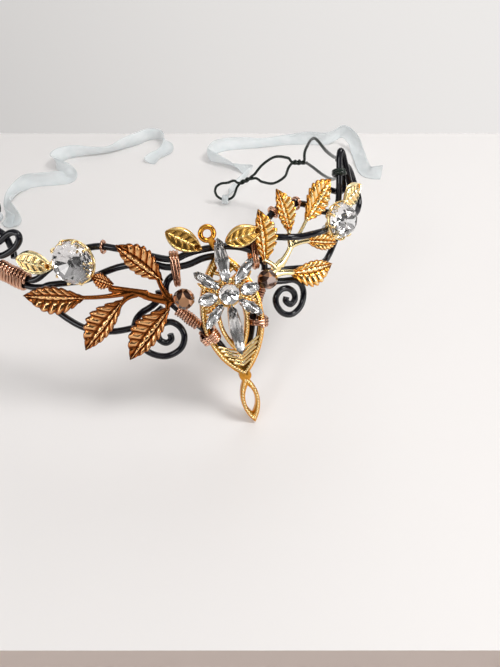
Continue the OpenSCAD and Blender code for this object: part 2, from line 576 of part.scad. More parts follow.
// The knot grips the lower strand of the arm's end loop, between two of the arm's rows
module ribbon_knot(before, after) {
    at = (before + after) / 2;
    strand_z = at[2] - at[3] - knot_sag;
    bore = arm_wire_d / 2 + 0.4;
    color([0.86, 0.92, 0.95]) translate([at[0], at[1], strand_z])
        rotate([0, 0, atan2(after[1] - before[1], after[0] - before[0])]) rotate([0, 90, 0])
            rotate_extrude($fn = 48) polygon([
                [bore, -1.7], [strand_z - 0.6, -1.7], [strand_z, -1], [strand_z, 1],
                [strand_z - 0.6, 1.7], [bore, 1.7]]);
}

// Pieces

module wire_upper() { frame_wire(UPPER); }
module wire_middle_left() { frame_wire(MIDDLE_LEFT); }
module wire_lower_left() { frame_wire(LOWER_LEFT); }
module wire_upper_right() { frame_wire(UPPER_RIGHT); }
module wire_middle_right() { frame_wire(MIDDLE_RIGHT); }
module wire_lower_right() { frame_wire(LOWER_RIGHT); }
module wire_v() { frame_wire(V_WIRE); }
module wire_loop_right() { frame_wire(LOOP_RIGHT); }
module curl_left() { frame_wire(CURL_LEFT, 3); }
module curl_right() { frame_wire(CURL_RIGHT, 3); }
module arm_left() { arm(ARM_LEFT); }
module arm_right() { arm(ARM_RIGHT); }
module arm_wrap_left() { dark_green() coil([-88.4, 55.1, 0], [-88.3, 57.7, 0], 2, wire_d, arm_wire_d); }
module arm_wrap_right() { dark_green() coil([55.55, 66.9, 0.6], [56.6, 69.4, 0.6], 2, wire_d, arm_wire_d); }
module coil_side_left() { copper() oval_coil([-78.8, 51.55, 0], [-67.6, 47.85, 0], 2.4, 1.3, 12); }
module coil_side_right() { copper() oval_coil([53.2, 51.75, 0], [60.6, 51.75, 0], 2.5, 1.3, 8); }
module coil_lower_left() { copper() coil([-18, 41, 0], [-10.9, 33.9, 0], 12); }
module coil_lower_right() { copper() coil([12, 43.25, 0], [9, 37.7, 0], 8); }
module wrap_lower_left() { copper() oval_coil([-9.3, 33, 1.75], [-7.2, 29.3, 1.75], 2.3, 3.2, 5); }
module wrap_lower_right() { copper() oval_coil([8.15, 34.9, 1.8], [7.6, 31.3, 1.8], 2.35, 3.3, 4); }
module binding_left() { copper() oval_coil([-18.2, 52.6, 0], [-14.2, 52.6, 0], 4.5, 1.3, 4); }
module binding_right() { copper() oval_coil([9, 55, 0], [12.4, 55, 0], 5.8, 1.3, 4); }
module wrap_upper_left() { copper() coil([-39.7, 60.15, 0], [-38.7, 60.05, 0], 1); }
module wrap_tip_inner() { copper() coil([19.4, 63.3, 0], [21, 64.1, 0], 2); }
module wrap_tip_outer() { copper() coil([29.6, 64.5, 0], [31.2, 64.3, 0], 2); }
module branch_left() { bronze() branch(LEAVES_LEFT, STEMS_LEFT, leaf_w_left); }
module branch_right() { gold() branch(LEAVES_RIGHT, STEMS_RIGHT, leaf_w_right); }
module leaf_bead_top_left() { gold() leaf_bead([-12.2, 61.1, 3.4], -33, 11.4, 6.6); }
module leaf_bead_top_right() { gold() leaf_bead([6.1, 60.3, 5.6], 8, 11.4, 6.4); }
module leaf_bead_side_left() { gold() leaf_bead([-62.4, 55, 2.4], -8, 12.4, 7.2); }
module leaf_bead_side_right() { gold() leaf_bead([56.8, 61, 4], 12, 12.4, 7); }
module brown_bead_left() { color([0.4, 0.24, 0.16]) on_band([-14.7, 44.5, 4.3]) round_bead(brown_d); }
module brown_bead_right() { color([0.55, 0.34, 0.25]) on_band([12.4, 45.7, 4.3]) round_bead(brown_d); }
module stone_left() { crystal() on_band([-47.2, 56.6, 5.4]) round_cut(stone_left_d, 4, 2.2); }
module stone_right() { crystal() on_band([45, 55.6, 5.65]) round_cut(stone_right_d, 4, 2.2); }
module setting_left() { setting([-47.2, 56.6, 1.35], stone_left_d); }
module setting_right() { setting([45, 55.6, 1.6], stone_right_d); }
module star_stone() {
    crystal() on_band([star_at[0], star_at[1], petal_floor + 1.4], star_turn) round_cut(6.2, 2.4, 1.2);
}
module petal_top() { petal(90, petal_top_l, petal_wide); }
module petal_bottom() { petal(270, petal_bottom_l, petal_wide); }
module petal_left() { petal(180, petal_level, petal_wide); }
module petal_right() { petal(0, petal_level, petal_wide); }
module petal_upper_left() { petal(135, petal_slant, petal_narrow); }
module petal_upper_right() { petal(45, petal_slant, petal_narrow); }
module petal_lower_left() { petal(225, petal_slant, petal_narrow); }
module petal_lower_right() { petal(315, petal_slant, petal_narrow); }
module ribbon_left() { ribbon(RIBBON_LEFT); }
module ribbon_right() { ribbon(RIBBON_RIGHT); }
module ribbon_knot_left() { ribbon_knot(ARM_LEFT[15], ARM_LEFT[16]); }
module ribbon_knot_right() { ribbon_knot(ARM_RIGHT[16], ARM_RIGHT[17]); }

translate(-foot) {
    wire_upper();
    wire_middle_left();
    wire_lower_left();
    wire_upper_right();
    wire_middle_right();
    wire_lower_right();
    wire_v();
    wire_loop_right();
    curl_left();
    curl_right();
    arm_left();
    arm_right();
    arm_wrap_left();
    arm_wrap_right();
    coil_side_left();
    coil_side_right();
    coil_lower_left();
    coil_lower_right();
    wrap_lower_left();
    wrap_lower_right();
    binding_left();
    binding_right();
    wrap_upper_left();
    wrap_tip_inner();
    wrap_tip_outer();
    branch_left();
    branch_right();
    leaf_bead_top_left();
    leaf_bead_top_right();
    leaf_bead_side_left();
    leaf_bead_side_right();
    brown_bead_left();
    brown_bead_right();
    stone_left();
    stone_right();
    setting_left();
    setting_right();
    centre_plaque();
    star_stone();
    petal_top();
    petal_bottom();
    petal_left();
    petal_right();
    petal_upper_left();
    petal_upper_right();
    petal_lower_left();
    petal_lower_right();
    ribbon_left();
    ribbon_right();
    ribbon_knot_left();
    ribbon_knot_right();
}
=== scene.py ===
"""Dresses the wire tiara: wire, copper windings, leaf sprays, cut stones, openwork and ribbons."""

import logging
import math
from contextlib import contextmanager
from dataclasses import dataclass, field
from enum import Enum
from typing import Callable, Iterator, Sequence

import bmesh
import bpy
import numpy as np
from mathutils import Matrix, Vector


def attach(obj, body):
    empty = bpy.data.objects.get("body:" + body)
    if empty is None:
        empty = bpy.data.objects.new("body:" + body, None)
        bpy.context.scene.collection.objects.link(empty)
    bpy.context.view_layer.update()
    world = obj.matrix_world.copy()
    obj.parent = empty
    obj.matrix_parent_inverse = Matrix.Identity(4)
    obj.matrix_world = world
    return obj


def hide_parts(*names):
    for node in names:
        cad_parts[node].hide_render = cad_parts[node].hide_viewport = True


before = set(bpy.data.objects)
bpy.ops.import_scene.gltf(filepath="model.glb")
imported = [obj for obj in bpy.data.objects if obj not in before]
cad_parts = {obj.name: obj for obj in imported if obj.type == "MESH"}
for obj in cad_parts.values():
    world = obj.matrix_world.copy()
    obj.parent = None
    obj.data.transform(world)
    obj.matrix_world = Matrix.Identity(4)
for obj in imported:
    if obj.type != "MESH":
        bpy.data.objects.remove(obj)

log = logging.getLogger("tiara")

MM = 0.001
ROOT = "root"
TAU = 2 * math.pi
UP = np.array([0, 0, 1.0])

# How raised a plain surface is taken to be, and the hidden back of a sheet, from 0 to 1: its place on the
# cast metals' ramp from painted shade to painted highlight
PLAIN_RELIEF = 0.75
BACK_RELIEF = 0.3

Rows = Sequence[Sequence[float]]
Place = tuple[float, float, float]
Colour = tuple[float, float, float]
Pose = tuple[np.ndarray, np.ndarray]
Piece = bpy.types.Object
Material = bpy.types.Material
Socket = bpy.types.NodeSocket


class Side(Enum):
    """The two sides of the tiara, as the viewer sees them."""

    LEFT = "left"
    RIGHT = "right"


# Wire rows on the pattern, [u, v, w] in millimetres, as in the part's source
WIRE_ROWS: dict[str, Rows] = {
    "wire_upper": [
        [-77, 55.7, 0.3], [-75.9, 55.9, 0.3], [-74.3, 56.5, 0.3], [-71.7, 57.9, 0.3], [-69.6, 59.5, 0.3],
        [-68.3, 61.3, 0.3], [-68.5, 62.8, 0.3], [-70, 63.3, 0.3], [-72.3, 62.6, 0.3], [-75.8, 60.3, 0.3],
        [-79.6, 58.4, 0.3], [-82.6, 57.2, 0.2], [-84.1, 55.7, 0], [-83.4, 54.3, 0], [-81.4, 53.5, 0],
        [-79.4, 52.9, 0], [-76.4, 51.92, 0], [-72, 50.46, 0], [-67.4, 48.94, 0], [-64, 49.6, 0],
        [-58.9, 53.1, 0], [-49.8, 58.3, 0], [-41.6, 60.2, 0], [-34.9, 59.6, 0], [-27.2, 57.9, 0],
        [-19.2, 55.8, 0], [-15.4, 55.6, 0], [-11.6, 56.6, 0], [-7, 57.2, 0], [0, 57.2, 0], [6, 56, 0],
        [10, 54.3, 0], [12.8, 53, 0]],
    "wire_middle_left": [
        [-72.9, 54.9, -1.2], [-73.5, 56.4, -1.9], [-74.5, 58.5, -2.1], [-75.3, 60.5, -2.1],
        [-76.6, 62.2, -1.9], [-79, 63.4, -1.2], [-82.6, 63, -0.4], [-86, 61.2, 0], [-88.1, 58, 0],
        [-88.2, 54.8, 0], [-86.2, 52.2, 0], [-83, 51.2, 0], [-79.8, 50.72, 0], [-76.4, 49.6, 0],
        [-72, 48.14, 0], [-67.8, 46.76, 0], [-63, 46.9, 0], [-59.8, 47.9, 0], [-52.4, 49.1, 0],
        [-47.1, 50, 0], [-37.9, 53.3, 0], [-31.6, 54.6, 0], [-24.3, 54.7, 0], [-18.6, 53.3, 0],
        [-12.5, 53.3, 0], [-7, 54.6, 0], [-3, 54.8, 0], [1, 54.6, 0]],
    "wire_lower_left": [
        [-66.6, 44, 0], [-64.6, 43.4, 0], [-61.6, 41.8, 0], [-56.4, 38, 0], [-50.8, 35.1, 0],
        [-46, 34.1, 0], [-40.9, 33.9, 0], [-36.5, 34, -1.2], [-32, 34.9, -2.3], [-26.8, 37.8, -2.4],
        [-22.6, 40.4, -2.4]],
    "wire_upper_right": [
        [9.4, 59.3, 0], [12, 59.1, 0], [15, 60.1, 0], [18, 62.4, 0], [21.6, 64.3, 0], [25.5, 64.7, 0],
        [30.4, 64.4, 0], [36, 62.6, 0], [42.5, 59.2, 0], [47.5, 57.6, 0], [51, 58.2, 0.4],
        [53, 60.6, 0.6], [55.2, 66, 0.6], [56.8, 70, 0.6], [58.2, 73.2, 0.6], [59.6, 74.4, 0.6],
        [61, 73.2, 0.6], [61.8, 70, 0.6], [62.5, 66.8, 0.6], [63.6, 62.5, 0.6], [65.2, 58, 0.6],
        [65.8, 55.4, 0.6]],
    "wire_middle_right": [
        [9.4, 56.9, 0], [12, 56.3, 0.1], [15, 56.5, 0.7], [18, 57, 2.3], [21.4, 56.5, 4.4],
        [26.4, 55.6, 4.9], [32.3, 55, 4.9], [36, 54.6, 4.6], [38.2, 54.3, 3.7], [40, 54, 2.3],
        [41.6, 53.7, 0.9], [43.4, 53.5, 0], [48, 53.2, 0], [54, 52.95, 0], [61, 52.85, 0]],
    "wire_lower_right": [
        [61, 50.65, 0], [54.6, 50.7, 0], [50.8, 49.4, -0.3], [47.5, 46.6, -0.6], [43.6, 43.9, -0.6],
        [41, 42.9, -0.5], [36.3, 42.6, -0.4], [31, 43.6, -0.6], [25, 44.8, -1.2], [19, 45.7, -1.5],
        [15.8, 46.3, -1.5]],
    "wire_v": [
        [-15.3, 50.7, 0], [-17.6, 50.5, 0], [-19.5, 49, 0], [-20.4, 46.6, 0], [-20.1, 43.8, 0],
        [-18.6, 41.6, 0], [-14.2, 37.2, 0], [-10.2, 33.2, 0], [-7.2, 29.8, 0], [-5.2, 27.2, 0],
        [-3, 23.2, 0], [-1.2, 20.6, 0], [0.5, 19.8, 0], [2.2, 20.8, 0], [4.4, 24.6, 0], [6, 28.6, 0],
        [7.2, 32.8, 0], [8, 35.4, 0], [9.6, 38.8, 0], [12.3, 43.8, 0], [13.6, 46.6, 0],
        [14, 49, 0], [12.9, 50.6, 0], [11.3, 51, 0]],
    "wire_loop_right": [
        [50.7, 64.3, -1.6], [54.7, 62.7, -1.6], [59.6, 61.2, -1.6], [63, 62.3, -1.6], [63.2, 65, -1.6],
        [66.2, 67.3, -1.6], [70.4, 67.4, -1.6], [73.6, 64.8, -1.5], [75, 61, -1.2], [75, 57.4, -0.6],
        [73.5, 54.2, 0], [70.4, 52.2, 0], [66.8, 51.6, 0], [64.2, 51.7, 0]],
    "curl_left": [
        [-22.8, 46.6, 0], [-23.1, 44, 0], [-25.6, 41.9, 0], [-29.5, 39.8, 0], [-31.9, 37, 0],
        [-32.5, 32.8, 0], [-29.3, 27.4, 0], [-23.6, 25.3, 0], [-18.4, 27.2, 0], [-16.4, 31, 0],
        [-17.3, 34.4, 0], [-20, 36.4, 0], [-23, 35.9, 0], [-24.9, 33.6, 0], [-24.6, 31, 0],
        [-22.6, 29.8, 0], [-20.8, 30.8, 0], [-20.9, 32.6, 0]],
    "curl_right": [
        [14.4, 43.5, 0], [20.5, 42.2, 0], [24.6, 41.4, 0], [27.4, 39.2, 0], [28.1, 35.8, 0],
        [26.3, 32.2, 0], [22.4, 30.4, 0], [18.8, 31.6, 0], [16.7, 34.6, 0], [16.6, 37.6, 0],
        [18.9, 39.6, 0], [21.9, 39.3, 0], [24, 37.2, 0], [23.9, 34.8, 0], [21.9, 33.9, 0],
        [20.3, 35.5, 0], [20.8, 36.8, 0]]}

# Arms: [x, y, z, half the gap between the strands, turn of the strands about each other]
ARM_ROWS: dict[Side, Rows] = {
    Side.RIGHT: [
        [45.2, -26.8, 60.3, 2.2, 0], [50.2, -19.6, 57, 3.5, 0], [54.2, -8, 49.4, 4.3, 0],
        [58, 8, 43.5, 5.2, 0], [59.5, 23, 41, 6.3, 0], [60.8, 32.5, 36, 4.2, 0],
        [61.5, 36.5, 30.5, 0.8, 0], [59.5, 39.8, 29, 0.76, 270], [57.4, 42.6, 27.7, 0.8, 540],
        [55.6, 44.8, 24.8, 4.8, 540], [51.4, 49.2, 21.6, 6.8, 540], [46.6, 53, 18.9, 4.4, 540],
        [42.8, 55.7, 16.3, 0.8, 540], [39.5, 57.8, 13.8, 0.76, 810], [36.1, 59.6, 11.4, 0.8, 1080],
        [34, 60.6, 9, 4.2, 1080], [31.4, 61.7, 7.3, 4.7, 1080], [28.2, 62.9, 7, 4.4, 1080],
        [25.8, 63.9, 7, 2.6, 1080], [25, 64.2, 7, 0, 1080]],
    Side.LEFT: [
        [-72.8, -14.9, 48, 3.1, 0], [-78, -3, 46, 4.3, 0], [-84.5, 11, 43, 5.2, 0],
        [-89, 25, 39, 6.3, 0], [-91, 34, 33.5, 4.2, 0], [-91.6, 38.5, 28.6, 0.8, 0],
        [-91.6, 42.3, 27, 0.76, 270], [-91.4, 46, 25.5, 0.8, 540], [-91, 49.5, 23, 4.8, 540],
        [-90, 56.5, 19.6, 6.8, 540], [-88.6, 63, 16.8, 4.4, 540], [-87.4, 66.8, 14, 0.8, 540],
        [-86.2, 70.4, 12.2, 0.76, 810], [-85, 73.8, 10.8, 0.8, 1080], [-84.2, 76, 9, 4.2, 1080],
        [-83.2, 78.7, 7.3, 4.7, 1080], [-82.2, 81.9, 7, 4.4, 1080], [-81.4, 84.3, 7, 2.6, 1080],
        [-81.1, 85.1, 7, 0, 1080]]}

# Leaves: [foot u, v, tip u, v, half width to the left and right of the midrib, w at foot and tip]
LEAF_ROWS: dict[Side, Rows] = {
    Side.LEFT: [
        [-20.4, 50.2, -33.4, 61.2, 3, 5.6, 3.1, 3.6], [-36, 49.9, -43.4, 52, 2.6, 2.4, 3.1, 2.2],
        [-45.7, 45.7, -67.4, 44.9, 5.4, 3.6, 3.1, 3.4], [-33.4, 45.4, -48.2, 28.8, 2.8, 5.8, 3.1, 3.4],
        [-19.2, 42.4, -33.9, 26.2, 3, 6, 3.1, 3.6]],
    Side.RIGHT: [
        [12.9, 49.9, 12.5, 66.4, 2.6, 5.6, 2.6, 4.2], [23.8, 56.6, 20.3, 70.7, 2.6, 4.6, 2.6, 3.6],
        [30.8, 58.8, 44.4, 68.6, 6.2, 3.8, 2.6, 3.8], [29.6, 53.2, 46.8, 47.6, 3.3, 2.7, 2.2, 1.1],
        [21.4, 45, 40.8, 42.3, 2.8, 5.8, 2.6, 2.4]]}

# Stems: [start u, v, end u, v, width at the start and the end]
STEM_ROWS: dict[Side, Rows] = {
    Side.LEFT: [
        [-18.6, 44.3, -27, 46.5, 4.2, 3], [-26, 46.4, -37.4, 48.6, 3.2, 2.2],
        [-31, 47.5, -47.6, 45.6, 2.4, 1.4], [-29.6, 46.8, -34.6, 44, 2.6, 1.8],
        [-19.4, 45, -21.8, 51.4, 3, 1.8], [-18.9, 44.2, -20.2, 41.4, 2.6, 1.8],
        [-35.4, 48.2, -38.2, 50.6, 2.2, 1.4]],
    Side.RIGHT: [
        [15.9, 46.7, 19.4, 49, 4.2, 3.4], [18.6, 48.4, 24.4, 54, 3.4, 2.4],
        [23.4, 53, 23.6, 58, 2.2, 1.5], [23.4, 53, 31.8, 59.6, 2.2, 1.3],
        [23.2, 53, 31.4, 52.7, 2.2, 1.6], [17, 47.6, 12.7, 51.4, 2, 1.8],
        [15.9, 45.9, 23, 44.8, 3, 2]]}
STEM_W: dict[Side, float] = {Side.LEFT: 3.1, Side.RIGHT: 2.6}

# The row of each arm that its ribbon's knot comes after
KNOT_ROW: dict[Side, int] = {Side.LEFT: 15, Side.RIGHT: 16}

# Ribbons: [x, y, height of the lower edge, roll]
RIBBON_ROWS: dict[Side, Rows] = {
    Side.LEFT: [
        [-78.6, 79, 0, 60], [-76, 75, 0, 20], [-75.2, 78, 0, -20], [-76.6, 88, 0, -60],
        [-77.2, 98, 0, -30], [-75, 108, 0, 10], [-69.5, 112.4, 0, 60], [-62, 112, 0, 80],
        [-54, 111.6, 0, 70], [-47.5, 113, 0, 30], [-45.5, 118, 0, -20], [-49, 124.5, 0, -70],
        [-52.6, 131, 0, -100], [-49.6, 137.2, 0, -110], [-42, 139, 0, -90], [-32, 138.6, 0, -60],
        [-21, 138.6, 0, -50], [-12, 141.4, 0, -80], [-3.6, 145.2, 0, -95], [4.6, 149.6, 0, -90],
        [11.4, 147.4, 0, -75], [13.6, 139.4, 0, -45], [10.6, 131.2, 0, -20], [4, 126.2, 0, -10],
        [-1, 119.6, 0, -20]],
    Side.RIGHT: [
        [32.2, 64.9, 0, -60], [40.6, 74, 0, -70], [48, 83, 0, -60], [51.6, 91.6, 0, -30],
        [46.8, 99, 0, 20], [38.4, 104.6, 0, 60], [32.6, 112, 0, 85], [37.2, 120.8, 0, 80],
        [47.6, 125.4, 0, 60], [60, 124.8, 0, 40], [72.6, 123.2, 0, 20], [86, 122.6, 0, 30],
        [98.6, 118.6, 0, 60], [108.6, 112.6, 0.5, 85], [118.4, 111.8, 4, 80], [122.6, 103, 3, 50],
        [121, 92, 0, 20], [117.4, 80, 0, 10], [115.6, 69, 0, 30], [121.6, 64.4, 0, 60]]}


@dataclass(frozen=True)
class Band:
    """The flat pattern [u, v, w] and how it bends round the brow, in millimetres and degrees."""

    lean: float = 12
    tip_back: float = 11
    depth: float = 71
    foot: tuple[float, float] = (15.9, 38.3)
    step: float = 15
    reach: float = 112
    turns_right: tuple[float, ...] = (0, 9, 19, 29, 39, 51, 63, 76)
    turns_left: tuple[float, ...] = (0, 9, 19, 27, 32, 35, 38, 42)

    def _plan(self, u: np.ndarray) -> tuple[np.ndarray, np.ndarray, np.ndarray]:
        """Where the band runs in plan.

        Args:
            u: Distances along the band.

        Returns:
            Place across, place back, and turn in radians, for each distance.
        """
        stations = self.step * np.arange(len(self.turns_right))
        s = np.arange(0, self.reach)
        found = []
        for turns in (self.turns_left, self.turns_right):
            middle = np.radians(np.interp(s[:-1] + 0.5, stations, turns))
            across = np.concatenate([[0], np.cumsum(np.cos(middle))])
            back = np.concatenate([[0], np.cumsum(np.sin(middle))])
            found.append([
                np.interp(np.abs(u), s, across), np.interp(np.abs(u), s, back),
                np.radians(np.interp(np.abs(u), stations, turns))])
        left, right = found
        sign = np.where(u < 0, -1.0, 1.0)
        across, back, turn = (np.where(u < 0, a, b) for a, b in zip(left, right))
        return sign * across, back, sign * turn

    def _tipped(self, p: np.ndarray) -> np.ndarray:
        """Points tipped back about the tip of the centre piece."""
        c, s = math.cos(math.radians(self.tip_back)), math.sin(math.radians(self.tip_back))
        return np.stack([p[..., 0], p[..., 1] * c + p[..., 2] * s, p[..., 2] * c - p[..., 1] * s], -1)

    def place(self, p: Rows | np.ndarray) -> np.ndarray:
        """Pattern places as points of the row frame.

        Args:
            p: Places [u, v, w], in any array shape whose last axis is 3.

        Returns:
            Points in millimetres, in the same shape.
        """
        p = np.asarray(p, float)
        x, y, h = self._plan(p[..., 0])
        b = math.radians(self.lean)
        out = p[..., 2] * math.cos(b) - p[..., 1] * math.sin(b)
        up = p[..., 1] * math.cos(b) + p[..., 2] * math.sin(b)
        q = self._tipped(np.stack([x + np.sin(h) * out, y - np.cos(h) * out, up], -1))
        return q - np.array([self.foot[0], self.depth + self.foot[1], 0])

    def pose(self, p: Sequence[float], spin: float = 0) -> Pose:
        """The flat frame that touches the band at a place.

        Args:
            p: The place [u, v, w].
            spin: Turn of the frame in the band's face, in degrees.

        Returns:
            The frame's origin, and a matrix whose rows are its three directions.
        """
        h = self._plan(np.array([float(p[0])]))[2][0]
        b = math.radians(self.lean)
        along = self._tipped(np.array([math.cos(h), math.sin(h), 0]))
        out = self._tipped(np.array([
            math.sin(h) * math.cos(b), -math.cos(h) * math.cos(b), math.sin(b)]))
        up = np.cross(out, along)
        c, s = math.cos(math.radians(spin)), math.sin(math.radians(spin))
        return self.place(p), np.stack([c * along + s * up, c * up - s * along, out])


BAND = Band()
# From the places of the arms' and ribbons' rows to the row frame
FOOT = np.array([*BAND.foot, 0])


# Shapes of curves and reliefs


def posed(points: np.ndarray, pose: Pose) -> np.ndarray:
    """Local points moved into a pose."""
    return pose[0] + np.asarray(points, float) @ pose[1]


def pose_matrix(pose: Pose) -> Matrix:
    """A pose as a matrix in metres."""
    turn = Matrix([list(row) for row in pose[1].T]).to_4x4()
    return Matrix.Translation(Vector(pose[0] * MM)) @ turn


def smooth(rows: Rows, steps: int) -> np.ndarray:
    """A smooth curve through rows of any width.

    Args:
        rows: The rows that the curve passes through.
        steps: Steps from each row to the next.

    Returns:
        The finer rows.
    """
    p = np.asarray(rows, float)
    out = []
    for i in range(len(p) - 1):
        a, b, c, d = p[max(i - 1, 0)], p[i], p[i + 1], p[min(i + 2, len(p) - 1)]
        for k in range(steps):
            t = k / steps
            out.append(0.5 * (
                2 * b + (c - a) * t + (2 * a - 5 * b + 4 * c - d) * t * t
                + (3 * b - a - 3 * c + d) * t ** 3))
    out.append(p[-1])
    return np.array(out)


def unit(v: np.ndarray) -> np.ndarray:
    """A direction at length 1."""
    return v / np.linalg.norm(v)


def units(rows: np.ndarray) -> np.ndarray:
    """Directions, each at length 1."""
    return rows / np.linalg.norm(rows, axis=1, keepdims=True)


def run_along(path: np.ndarray) -> np.ndarray:
    """How far along a path each of its points lies."""
    return np.concatenate([[0], np.cumsum(np.linalg.norm(np.diff(path, axis=0), axis=1))])


def bell(x: np.ndarray, middle: float, width: float) -> np.ndarray:
    """A smooth rise to 1 round a middle."""
    return np.exp(-((x - middle) / width) ** 2)


def lifted(flat: np.ndarray, height: float | np.ndarray) -> np.ndarray:
    """Flat places, their last axis 2, given their heights."""
    return np.concatenate([flat, np.broadcast_to(height, flat.shape[:-1])[..., None]], -1)


def ring(radius: float, height: float, sides: int, turn: float = 0) -> np.ndarray:
    """A level ring of points.

    Args:
        radius: The ring's radius.
        height: Its height.
        sides: Its points.
        turn: Its turn, in steps between points.

    Returns:
        The points.
    """
    a = TAU * (np.arange(sides) + turn) / sides
    return np.stack([radius * np.cos(a), radius * np.sin(a), np.full(sides, height)], -1)


# Finishes


class NodeDesk:
    """Builds one material's shader nodes."""

    def __init__(self, name: str) -> None:
        """Starts a material with a Principled shader.

        Args:
            name: The material's name.
        """
        self.material = bpy.data.materials.new(name)
        self.material.use_nodes = True
        self.tree = self.material.node_tree
        self.shader = self.tree.nodes["Principled BSDF"]

    def node(self, kind: str, **settings: object) -> bpy.types.Node:
        """Adds a node.

        Args:
            kind: The node's type.
            settings: Its properties, or inputs by name.

        Returns:
            The node.
        """
        made = self.tree.nodes.new(kind)
        for key, value in settings.items():
            if key in made.inputs:
                made.inputs[key].default_value = value
            else:
                setattr(made, key, value)
        return made

    def link(self, out: Socket, into: Socket) -> None:
        """Joins two sockets."""
        self.tree.links.new(out, into)

    def feed(self, name: str, out: Socket) -> None:
        """Leads a pattern into one of the shader's sockets."""
        self.link(out, self.shader.inputs[name])

    def fix(self, values: dict[str, float | tuple[float, ...]]) -> None:
        """Sets the sockets of the shader that are the same all over the surface.

        Args:
            values: What each socket is set to, by its name.
        """
        for name, value in values.items():
            self.shader.inputs[name].default_value = value

    def place(self) -> Socket:
        """The piece's own coordinates."""
        return self.node("ShaderNodeTexCoord").outputs["Object"]

    def relief(self) -> Socket:
        """How raised the surface is, as the mesh stores it, which sets its painted shade and highlight; on
        cut beads it is each facet's painted tone.
        """
        return self.node("ShaderNodeAttribute", attribute_name="relief").outputs["Fac"]

    def noise(self, scale: float, detail: float = 3) -> Socket:
        """A noise pattern on the piece.

        Args:
            scale: The pattern's scale, per metre.
            detail: Its layers.

        Returns:
            The pattern's value.
        """
        made = self.node("ShaderNodeTexNoise", Scale=scale, Detail=detail)
        self.link(self.place(), made.inputs["Vector"])
        return made.outputs["Fac"]

    def added(self, one: Socket, other: Socket) -> Socket:
        """Two values added.

        Args:
            one: A value.
            other: Another value.

        Returns:
            Their sum.
        """
        made = self.node("ShaderNodeMath", operation="ADD")
        self.link(one, made.inputs[0])
        self.link(other, made.inputs[1])
        return made.outputs["Value"]

    def ramp(self, value: Socket, stops: Sequence[tuple[float, Colour]]) -> Socket:
        """Colours for a value.

        Args:
            value: The value.
            stops: Pairs of position and colour.

        Returns:
            The colour.
        """
        made = self.node("ShaderNodeValToRGB")
        set_stops(made, [(position, (*colour, 1)) for position, colour in stops])
        self.link(value, made.inputs["Fac"])
        return made.outputs["Color"]

    def span(self, value: Socket, low: float, high: float) -> Socket:
        """A value from 0 to 1 stretched to another run.

        Args:
            value: The value.
            low: What 0 becomes.
            high: What 1 becomes.

        Returns:
            The stretched value.
        """
        made = self.node("ShaderNodeMapRange", **{"To Min": low, "To Max": high})
        self.link(value, made.inputs["Value"])
        return made.outputs["Result"]

    def bump(self, height: Socket, distance: float, strength: float) -> None:
        """Bump on the shader.

        Args:
            height: The height pattern.
            distance: Its depth in metres.
            strength: Its strength.
        """
        made = self.node("ShaderNodeBump", Distance=distance, Strength=strength)
        self.link(height, made.inputs["Height"])
        self.feed("Normal", made.outputs["Normal"])


def set_stops(ramp: bpy.types.Node, stops: Sequence[tuple[float, tuple[float, ...]]]) -> None:
    """Fills a colour ramp.

    Args:
        ramp: The ramp's node.
        stops: Pairs of position and colour with its alpha.
    """
    elements = ramp.color_ramp.elements
    while len(elements) < len(stops):
        elements.new(0.5)
    for element, (position, colour) in zip(elements, stops):
        element.position = position
        element.color = colour


@dataclass(frozen=True)
class WireFinish:
    """Enamelled or bare craft wire with faint drawing marks."""

    name: str
    dark: Colour
    light: Colour
    metallic: float
    roughness: tuple[float, float]
    gloss: float
    grain: float = 700
    mark_grain: float = 0.6
    mark_depth: float = 0.00001
    mark_strength: float = 0.1

    def material(self) -> Material:
        """The finish as a material.

        Returns:
            The material.
        """
        desk = NodeDesk(self.name)
        noise = desk.noise(self.grain)
        desk.feed("Base Color", desk.ramp(noise, [(0.3, self.dark), (0.7, self.light)]))
        desk.feed("Roughness", desk.span(noise, *self.roughness))
        desk.fix({"Metallic": self.metallic, "Specular IOR Level": self.gloss})
        desk.bump(desk.noise(self.grain * self.mark_grain), self.mark_depth, self.mark_strength)
        return desk.material


@dataclass(frozen=True)
class CastFinish:
    """Cast or stamped metal, with painted highlight where it is raised and painted shade where it is sunk.
    """

    name: str
    deep: Colour
    body: Colour
    bright: Colour
    roughness: tuple[float, float]
    mottle: float = 0.16
    mottle_grain: float = 1400
    skin_grain: float = 2600
    skin_depth: float = 0.00005
    skin_strength: float = 0.5

    def material(self) -> Material:
        """The finish as a material.

        Returns:
            The material.
        """
        desk = NodeDesk(self.name)
        mottle = desk.span(desk.noise(self.mottle_grain, 4), -self.mottle, self.mottle)
        painted_light_and_mottle = desk.added(desk.relief(), mottle)
        # Painted shade in sunk places, the metal's body, and painted highlight on raised places; the mottle
        # adds random tone
        stops = [(0.05, self.deep), (0.42, self.body), (0.85, self.bright)]
        desk.feed("Base Color", desk.ramp(painted_light_and_mottle, stops))
        desk.feed("Roughness", desk.span(painted_light_and_mottle, self.roughness[1], self.roughness[0]))
        desk.fix({"Metallic": 1})
        desk.bump(desk.noise(self.skin_grain), self.skin_depth, self.skin_strength)
        return desk.material


@dataclass(frozen=True)
class CrystalFinish:
    """Clear cut glass, or the mirror foil behind it."""

    name: str
    tint: Colour
    roughness: float
    clearness: float
    metallic: float = 0
    bend: float = 1.56
    shade: float = 0.93

    def material(self) -> Material:
        """The finish as a material.

        Returns:
            The material.
        """
        desk = NodeDesk(self.name)
        pale = tuple(self.shade * c for c in self.tint)
        desk.feed("Base Color", desk.ramp(desk.noise(400, 2), [(0.35, pale), (0.65, self.tint)]))
        desk.fix({
            "Roughness": self.roughness, "Transmission Weight": self.clearness,
            "Metallic": self.metallic, "IOR": self.bend})
        return desk.material


